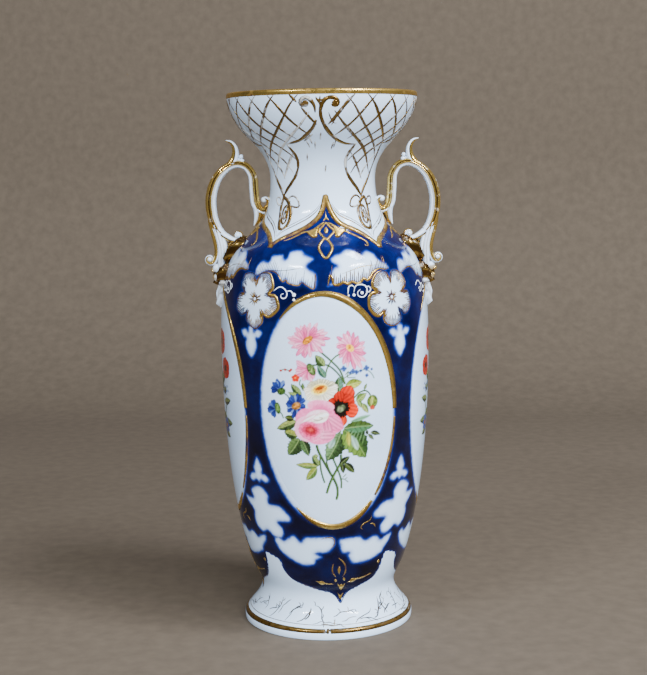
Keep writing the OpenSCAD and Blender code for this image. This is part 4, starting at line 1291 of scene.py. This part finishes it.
    disc(p, (25.3, 170.4), 4.1, 4.4, 0, "#b1bd7a", "#6b8149")
    petal(p, (25.3, 174), (24.4, 167.4), 2.2, "#d3d9a4", "#b9c68a", 1, 0.5, 0.6)
    petal(p, (25.3, 168), (25.3, 164.4), 4, "#c2604c", "#d98a70", 2, 0.6, 0.85)
    leaf(p, (20.7, 179), (21.8, 183), 1.8, leaf_light, leaf_dark)


# %% The side and back bouquets, in other flowers of the same hand
def poppy_spray(p):
    """Orange blooms high up over grey-green leaves, for the two sides."""
    for path in ([(0, 108), (2, 128), (-2, 150), (-8, 190)], [(4, 106), (3, 130), (6, 160), (12, 205)],
                 [(-4, 110), (0, 132), (8, 152), (17, 176)], [(1, 120), (-6, 140), (-18, 166)]):
        stalk(p, path, 1.4)
    hand = np.random.default_rng(41)
    for k in range(26):
        a = math.radians(hand.uniform(0, 360))
        reach = hand.uniform(4, 13)
        at = (math.cos(a) * reach, 158 + math.sin(a) * reach * 2.1)
        aim = a + hand.uniform(-0.5, 0.5)
        long = hand.uniform(10, 18)
        tip = (at[0] + math.cos(aim) * long / per_degree, at[1] + math.sin(aim) * long)
        leaf(p, at, tip, hand.uniform(5, 9), ("#93a878", "#a3b184", "#7c9a86")[k % 3],
             ("#4d6340", "#3e5538", "#4a6a58")[k % 3], 0.1, 7, 5)
    for at, size in (((-9, 206), 11), ((11, 212), 10), ((16, 192), 9), ((-17, 188), 9), ((2, 190), 12)):
        for k in range(6):
            a = 2 * math.pi * k / 6 + size
            tip = (at[0] + math.cos(a) * size / per_degree, at[1] + math.sin(a) * size * 0.86)
            petal(p, at, tip, size * 0.95, ("#a8321a", "#b93d1e")[k % 2], ("#d9603a", "#cf5430")[k % 2], 4,
                  0.62, 0.96, "#8c2a14", 0.5)
        disc(p, at, size * 0.26, size * 0.22, 20, "#2b1a12", "#4a2a1a")
    daisy(p, (0, 160), [11.5, 10, 9.5, 10, 11.5, 10, 9.5, 10, 11.5], 0.8, 10, 18,
          [("#e8e6cf", "#ffffff", "#aab0a0")], (3.8, 2.6), ("#c9922a", "#e6c455"), 44, 3)
    daisy(p, (-13, 146), [8, 7, 8, 7, 8], 0.85, 0, 14, [("#4459a6", "#7d9bd6", "#303f86")], (2.2, 1.8),
          ("#c99a48", "#a8823a"), 45, 2.4)
    daisy(p, (13, 144), [8, 7, 8, 7, 8], 0.85, 0, 14, pink, (2.4, 1.8), ("#d9a73a", "#efd07a"), 46, 2.6)
    for k in range(9):
        disc(p, (-20 + k * 1.4, 172 + 3 * math.sin(k * 1.7)), 1.1, 1.0, 0, "#5a6ea8", "#7f9fd0", 0.9, 0.1)


# %% Paint the four canvases
# Above 1, this deepens each colour against the white it is painted on.
strength_of_colour = 1.75
for name, at, sway, flip, draw in (("bouquet_front", panel_at[0], 0.0, 1, posy),
                                   ("bouquet_right", panel_at[1], 0.02, 1, poppy_spray),
                                   ("bouquet_back", panel_at[2], 0.03, -1, posy),
                                   ("bouquet_left", panel_at[3], -0.02, -1, poppy_spray)):
    sheet, x, z = canvas(name, at)
    painted = Painting(x, z, sway, flip)
    draw(painted)
    paper = srgb(glaze_white)
    rgb = np.clip(paper * np.clip(painted.rgb / paper, 0, None) ** strength_of_colour, 0, 1)
    rgb = np.where(rgb <= 0.04045, rgb / 12.92, ((rgb + 0.055) / 1.055) ** 2.4)
    enamel_amount = np.abs(painted.rgb - srgb("#e0e9f2")).max(1)
    paint = sheet.data.attributes.new("paint", "FLOAT_COLOR", "POINT")
    paint.data.foreach_set("color", np.column_stack([rgb, np.clip(enamel_amount * 3, 0, 1)]).ravel())
    sheet["canvas"] = name
    print(name, len(x), "points painted")

# %% [markdown]
# ## Enamel
# Overglaze enamel is glass paint: a little less glossy than the glaze, and thick enough to feel. The
# colour comes from the painted points, the gloss drops and the surface rises where there is paint.

# %% Enamel colours over glaze
enamel, tree, shader = material("overglaze_enamel_painting", IOR=1.5, Coat_Weight=0.3, Coat_Roughness=0.05)
where = node(tree, "ShaderNodeTexCoord").outputs["Object"]
paint = node(tree, "ShaderNodeAttribute", attribute_name="paint")
stipple = node(tree, "ShaderNodeTexNoise", {"Vector": where, "Scale": 900.0, "Detail": 2.0})
shift_tone = node(tree, "ShaderNodeMapRange", {"Value": stipple.outputs["Fac"], "To Min": 0.94,
                                               "To Max": 1.05})
tone = node(tree, "ShaderNodeVectorMath", {0: paint.outputs["Color"], "Scale": shift_tone.outputs[0]},
            operation="SCALE")
tree.links.new(tone.outputs[0], shader.inputs["Base Color"])
gloss = node(tree, "ShaderNodeMapRange", {"Value": paint.outputs["Alpha"], "To Min": 0.1, "To Max": 0.26})
tree.links.new(gloss.outputs[0], shader.inputs["Roughness"])
thick = node(tree, "ShaderNodeMath", {0: paint.outputs["Alpha"], 1: stipple.outputs["Fac"]},
             operation="MULTIPLY")
bump = node(tree, "ShaderNodeBump", {"Height": thick.outputs[0], "Strength": 0.15, "Distance": 0.0002})
tree.links.new(bump.outputs[0], shader.inputs["Normal"])
for piece in [o for o in bpy.data.objects if "canvas" in o]:
    finish_piece(piece, enamel, "enamel")

# %% [markdown]
# ## The handles
# Each handle was pressed in a two-part mould as one strap that curls at both ends. Its section is
# ridged: two gilt ridges outside with a groove between, and a plain white band inside. A curve with a
# bevel would give the strap but lose which side is the outside, and the gilding needs that, so a ring
# of section points is carried along the drawn curl and keeps it as a value from -1 inside to 1 outside.

# %% A strap swept along a curl
section = 44
section_turn = np.linspace(0, 2 * math.pi, section, endpoint=False)


def curl(centre, start, sweep_by, big, small, count=16):
    """Points of a spiral round centre, from angle start through sweep_by degrees."""
    turn = np.linspace(0, 1, count)
    a = np.radians(start + sweep_by * turn)
    r = big + (small - big) * turn ** 0.8
    return [(centre[0] + q * math.cos(b), centre[1] + q * math.sin(b)) for q, b in zip(r, a)]


def strap(path, thick, deep, grooves=(0.3, -0.38), depth=0.22, bands=(-0.3, 1.0)):
    """Sweeps a ridged section along path, (x, z) in mm. thick and deep are half sizes along it."""
    line = curve_through(path)
    run = np.concatenate([[0], np.cumsum(np.hypot(*np.diff(line, axis=0).T))])
    even = np.linspace(0, run[-1], max(12, round(run[-1] / 0.75)))
    line = np.stack([np.interp(even, run, line[:, 0]), np.interp(even, run, line[:, 1])], 1)
    t = even / run[-1]
    thick = 1.12 * np.interp(t, np.linspace(0, 1, len(thick)), thick)
    deep = np.interp(t, np.linspace(0, 1, len(deep)), deep)
    ahead = np.gradient(line, axis=0)
    ahead /= np.linalg.norm(ahead, axis=1)[:, None]
    across = np.stack([-ahead[:, 1], ahead[:, 0]], 1)
    c = np.sign(np.cos(section_turn)) * abs(np.cos(section_turn)) ** 0.9
    s = np.sign(np.sin(section_turn)) * abs(np.sin(section_turn)) ** 0.8
    dip = sum(np.exp(-((c - g) / 0.13) ** 2) for g in grooves) if grooves else 0 * c
    s = s * (1 - depth * dip)
    rows = np.empty((len(line), section, 3))
    rows[:, :, 0] = line[:, :1] + across[:, :1] * c * thick[:, None]
    rows[:, :, 1] = s * deep[:, None]
    rows[:, :, 2] = line[:, 1:] + across[:, 1:] * c * thick[:, None]
    verts = np.vstack([rows.reshape(-1, 3), [[line[0, 0], 0, line[0, 1]], [line[-1, 0], 0, line[-1, 1]]]])
    n = len(line)
    faces = [(i * section + k, i * section + (k + 1) % section, (i + 1) * section + (k + 1) % section,
              (i + 1) * section + k) for i in range(n - 1) for k in range(section)]
    faces += [((k + 1) % section, k, n * section) for k in range(section)]
    last = (n - 1) * section
    faces += [(last + k, last + (k + 1) % section, n * section + 1) for k in range(section)]
    gold_here = np.tile((c > bands[0]) & (c < bands[1] + 0.01), n).astype(float)
    # Painted shade: the grooves are stored as dark, so the white porcelain in them is painted greyer.
    dark = np.tile(dip if grooves else 0 * c, n)
    return verts * MM, faces, np.append(gold_here, [0.5, 0.5]), np.append(dark, [0, 0])

# %% A round eye or berry, and a helper that joins parts
def ball(x, z, r, deep, gold_here=0.0):
    """The round eye of a volute, or a berry, as a squashed sphere's points and faces."""
    bpy.ops.object.select_all(action="DESELECT")
    bpy.ops.mesh.primitive_uv_sphere_add(segments=24, ring_count=16, radius=1)
    made = bpy.context.object
    verts = points_of(made) * (r, deep, r) + (x, 0, z)
    faces = [tuple(f.vertices) for f in made.data.polygons]
    mesh = made.data
    bpy.data.objects.remove(made)
    bpy.data.meshes.remove(mesh)
    return verts * MM, faces, np.full(len(verts), float(gold_here)), np.zeros(len(verts))


def assemble(name, parts, side, mat, slot):
    """Joins parts drawn on the right into one piece on the given side."""
    verts, faces, gilt, dark = joined(parts)
    word = "right" if side == 1 else "left"
    obj = mesh_object(word + "_" + name + "_piece", verts * (side, 1, 1), (), faces)
    face_outwards(obj)
    store(obj, "gilt", gilt)
    store(obj, "hollow_shade_and_patina", dark)
    finish_piece(obj, mat, slot, word + "_" + name)


# %% Gilt and white porcelain of the handles
pressed, tree, shader = material("gilded_pressed_porcelain", IOR=1.5, Coat_Weight=0.25, Coat_Roughness=0.06)
where = node(tree, "ShaderNodeTexCoord").outputs["Object"]
gilt = node(tree, "ShaderNodeAttribute", attribute_name="gilt").outputs["Fac"]
hollow_shade_and_patina = node(tree, "ShaderNodeAttribute", attribute_name="hollow_shade_and_patina").outputs["Fac"]
rubbed = node(tree, "ShaderNodeTexNoise", {"Vector": where, "Scale": 150.0, "Detail": 4.0,
                                           "Roughness": 0.65})
patchy = node(tree, "ShaderNodeTexNoise", {"Vector": where, "Scale": 420.0, "Detail": 2.0})
amount = node(tree, "ShaderNodeMath", {0: rubbed.outputs["Fac"], 1: -1.7, 2: 1.26},
              operation="MULTIPLY_ADD")
kept = node(tree, "ShaderNodeMath", {0: gilt, 1: amount.outputs[0]}, operation="ADD")
cover = node(tree, "ShaderNodeMapRange", {"Value": kept.outputs[0], "From Min": 0.98, "From Max": 1.22})
held = node(tree, "ShaderNodeMath", {0: cover.outputs[0], 1: gilt}, operation="MULTIPLY")
lows = node(tree, "ShaderNodeMath", {0: patchy.outputs["Fac"], 1: 0.9, 2: hollow_shade_and_patina}, operation="MULTIPLY_ADD")
brown_part = node(tree, "ShaderNodeMapRange", {"Value": lows.outputs[0], "From Min": 0.55, "From Max": 1.1})
metal_tint = node(tree, "ShaderNodeMix", {"Factor": brown_part.outputs[0], 6: linear("#f0c766"),
                                          7: linear("#6b4a1e")}, data_type="RGBA")
# Painted shade: the white porcelain is painted grey-brown in the grooves and hollows, and the gold there
# browns as patina.
white_with_painted_groove_shade = node(tree, "ShaderNodeMix", {"Factor": hollow_shade_and_patina, 6: linear("#dbe9f8"), 7: linear("#a99f8c")},
                 data_type="RGBA")
skin = node(tree, "ShaderNodeMix", {"Factor": held.outputs[0], 6: white_with_painted_groove_shade.outputs[2],
                                    7: metal_tint.outputs[2]},
            data_type="RGBA")
shine = node(tree, "ShaderNodeMath", {0: held.outputs[0], 1: 0.92}, operation="MULTIPLY")
dulled = node(tree, "ShaderNodeMapRange", {"Value": patchy.outputs["Fac"], "From Min": 0.3, "From Max": 0.7,
                                           "To Min": 0.12, "To Max": 0.3})
tree.links.new(skin.outputs[2], shader.inputs["Base Color"])
tree.links.new(shine.outputs[0], shader.inputs["Metallic"])
tree.links.new(dulled.outputs[0], shader.inputs["Roughness"])
bump = node(tree, "ShaderNodeBump", {"Height": rubbed.outputs["Fac"], "Strength": 0.2, "Distance": 0.0003})
tree.links.new(bump.outputs[0], shader.inputs["Normal"])
print("handle material ready")

# %% The drawn curls, on the right side
loop_path = [(46.3, 299), (48.3, 304), (49, 313), (49.8, 322), (54, 328.6), (61, 330.8), (69, 327.6),
             (76, 319.5), (79.8, 307), (79, 294), (75.6, 285.4), (73, 282.2)]
inner_path = [(75.6, 285.6), (73, 282.2), (70, 279.8), (65.4, 277.3), (61.6, 276.8)]
inner_path += curl((61.2, 280.3), 262, -330, 3.3, 1.5)
outer_path = [(81.2, 297), (81, 291), (79.2, 284), (77.2, 277), (76.2, 270.5), (76.9, 265), (79, 261)]
outer_path += curl((81.5, 263.3), -95, 320, 3.1, 1.5)
stem_path = [(77, 288), (74.8, 279), (73.2, 272), (73, 264), (73.6, 256)]
inner_stem = [(72.6, 283), (71.6, 277.4), (70.6, 272.6), (70.2, 268)]
horn_path = [(65.6, 329.8), (64, 332), (62.4, 334.5), (61.6, 339.5), (62.6, 343.4), (65, 346.2),
             (68.4, 347.4)]
root_path = [(47.6, 303.8), (46.2, 299.6), (43.2, 297.4), (40.2, 297.6)]
root_path += curl((42.2, 303.6), 246, -150, 4.6, 2.6, 8)
tail_path = [(48.4, 305), (47.4, 300), (46.8, 296), (47.4, 291.6), (49.4, 286.8)]
gilt_tail = [(44.6, 300.4), (44.2, 296.6), (45.4, 292), (48.4, 287)]
print(len(loop_path), "points along the loop,", len(horn_path), "along the horn")

# %% Handle pieces on both sides
for side in (1, -1):
    assemble("loop", [strap(loop_path, [3.0, 3.0, 3.0, 2.6, 2.4, 2.8, 3.3, 3.5, 3.5, 3.2, 2.6],
                            [5.0, 5.2, 4.9, 4.6, 4.8, 5.4, 5.6, 5.6, 5.4, 4.8])], side, pressed,
             "worn_gilding")
    assemble("inner_scroll", [strap(inner_path, [2.6, 2.4, 2.1, 1.8, 1.5, 1.2, 0.9, 0.7],
                                    [4.8, 4.6, 4.2, 3.8, 3.4], (0.35,), 0.2, (0.3, 1.0)),
                              ball(61.1, 280.4, 2.1, 4.4, 0.3)], side, pressed, "glazed_porcelain")
    assemble("outer_scroll", [strap(outer_path, [0.4, 1.3, 1.7, 1.9, 1.9, 1.7, 1.4, 1.0, 0.8],
                                    [2.2, 3.4, 3.6, 3.4, 3.2], (), 0, (-0.4, 1.0)),
                              ball(81.5, 263.4, 2.2, 4.2, 0.4)], side, pressed, "worn_gilding")
    assemble("stem", [strap(stem_path, [2.2, 2.4, 2.4, 2.6, 2.2], [4.6, 5.0, 5.2, 5.0], (0.1,), 0.3,
                            (1.2, 2)),
                      strap(inner_stem, [1.2, 1.5, 1.7, 1.2], [3.0, 4.0, 4.6], (), 0, (0.3, 1.0))],
             side, pressed, "glazed_porcelain")
    assemble("horn", [strap(horn_path, [2.6, 2.7, 2.5, 2.2, 1.9, 1.5, 1.0, 0.35],
                            [4.4, 3.8, 3.2, 2.6, 1.9, 0.9],
                            (-0.05,), 0.25, (-2.0, 0.1))], side, pressed, "worn_gilding")
    assemble("knot", [strap(root_path, [2.8, 2.6, 2.3, 2.0, 1.6, 1.2], [4.6, 4.4, 4.0, 3.4], (0.0,), 0.25,
                            (-2.0, 0.2)),
                      ball(42.0, 305.2, 2.2, 3.6, 0.0),
                      strap(tail_path, [2.2, 2.5, 2.4, 1.8, 0.4], [4.4, 4.6, 3.8, 2.4, 0.8], (-0.1,), 0.2,
                            (-2, -0.2)),
                      strap(gilt_tail, [1.4, 1.6, 1.3, 0.4], [4.4, 4.0, 2.6, 0.8], (), 0, (-2, 2))],
             side, pressed, "worn_gilding")
    berries = []
    for x, y, z, r in ((57.2, -1.7, 333.0, 1.6), (57.2, 1.7, 333.0, 1.6), (57.8, 0, 336.0, 1.5),
                       (59.6, 0, 333.6, 1.5)):
        v, f, g, d = ball(x, z, r, r, 0.35)
        berries.append((v + (0, y * MM, 0), f, g, d))
    assemble("berries", berries, side, pressed, "glazed_porcelain")

# %% [markdown]
# ## The sprigs
# The leaves under each handle are sprigs: pressed in small moulds and stuck to the wall while damp.
# Each is a grid bent onto the wall and raised into a leaf with a rib, side veins and curled lobes,
# with its edge sunk below the glaze. The gilt ones are brown where the gold pooled and thinned. The
# white ones are painted greyer between the veins and beside the rib, a painted shade in their hollows.

# %% Raised leaves that follow the wall
def relief(at, z_mid, wide, high, rise, lobes, turn=0.0, gold_here=1.0, rows=40, across=28):
    """One raised leaf, tip down. at is its angle from the handle's plane, sizes in mm."""
    u, v = np.meshgrid(np.linspace(-1, 1, across), np.linspace(0, 1, rows))
    edge = np.sin(math.pi * v ** 0.72) ** 0.8 * (1 - 0.13 * abs(np.sin(math.pi * lobes * v)) ** 3)
    x = u * edge * wide / 2
    z = high / 2 - high * v + abs(u) ** 2 * high * 0.06
    bulge = np.sin(math.pi * np.clip(v * 0.96 + 0.02, 0, 1))
    dome = np.clip(1 - abs(u) ** 2.6, 0, 1) * np.clip(bulge * 2.2, 0, 1)
    rib = np.exp(-(u / 0.13) ** 2) - 0.75 * np.exp(-((abs(u) - 0.2) / 0.1) ** 2)
    veins = 0.5 + 0.5 * np.cos((v * lobes * 2 + abs(u) * 0.8) * 2 * math.pi)
    lobe_curl = 0.16 * np.sin(math.pi * lobes * v) ** 2 * abs(u) ** 1.5
    height = rise * (dome * (0.62 + 0.16 * rib + 0.14 * veins) + lobe_curl * dome) - 0.35
    c, s = math.cos(math.radians(turn)), math.sin(math.radians(turn))
    xs, zs = x * c - z * s, x * s + z * c
    degrees = 90 + at + np.degrees(xs / radius(z_mid + zs))
    verts = on_vase(degrees, z_mid + zs, height).reshape(-1, 3)
    faces = [(j * across + i, j * across + i + 1, (j + 1) * across + i + 1, (j + 1) * across + i)
             for j in range(rows - 1) for i in range(across - 1)]
    back = on_vase(90 + at, z_mid, -1.5)
    rim = list(range(across)) + [(j + 1) * across - 1 for j in range(1, rows)]
    rim += [(rows - 1) * across + i for i in range(across - 2, -1, -1)]
    rim += [j * across for j in range(rows - 2, 0, -1)]
    faces += [(rim[(k + 1) % len(rim)], rim[k], len(verts)) for k in range(len(rim))]
    verts = np.vstack([verts, back[None]])
    # Painted shade: the low points between the veins and beside the rib are stored as dark, so white leaves
    # are greyer there.
    dark = np.append(np.clip(0.42 * gold_here + 0.6 * (1 - veins) + 0.5 * (rib < -0.3), 0, 1).ravel(), 0)
    return verts, faces, np.full(len(verts), gold_here), dark


# %% Boss, sprig and pendant on both sides
for side in (1, -1):
    assemble("leaf_boss", [relief(-8.5, 268.5, 11.5, 17, 7.2, 1, 14),
                           relief(8.5, 268.5, 11.5, 17, 7.2, 1, -14),
                           relief(0, 268.2, 13.5, 18, 9.0, 1), relief(-4.4, 274.6, 8, 7.5, 5.6, 1, 30),
                           relief(4.4, 274.6, 8, 7.5, 5.6, 1, -30)], side, pressed, "worn_gilding")
    assemble("sprig", [relief(-6.6, 252, 9.5, 13.5, 7.6, 1, 22), relief(6.6, 252, 9.5, 13.5, 7.6, 1, -22),
                       relief(0, 250.8, 9.5, 15, 9.8, 1),
                       relief(-9.0, 257.0, 6.5, 8, 6, 1, 60, 0.9),
                       relief(9.0, 257.0, 6.5, 8, 6, 1, -60, 0.9),
                       relief(-6.4, 246.2, 5, 6.4, 4.2, 1, 40, 0.5),
                       relief(6.4, 246.2, 5, 6.4, 4.2, 1, -40, 0.5),
                       ball(79.4, 255.4, 1.7, 2.6, 0.9), ball(78.4, 250.6, 1.6, 2.4, 0.9),
                       ball(76.4, 256.8, 3.4, 3.6, 0.6), ball(76.0, 249.8, 3.2, 3.4, 0.8)], side, pressed,
             "worn_gilding")
    assemble("pendant", [relief(0, 238.4, 9, 20, 5.4, 1, 0, 0.0), relief(-4, 243, 5, 10, 3, 1, 16, 0.0),
                         relief(4, 243, 5, 10, 3, 1, -16, 0.0)], side, pressed, "glazed_porcelain")
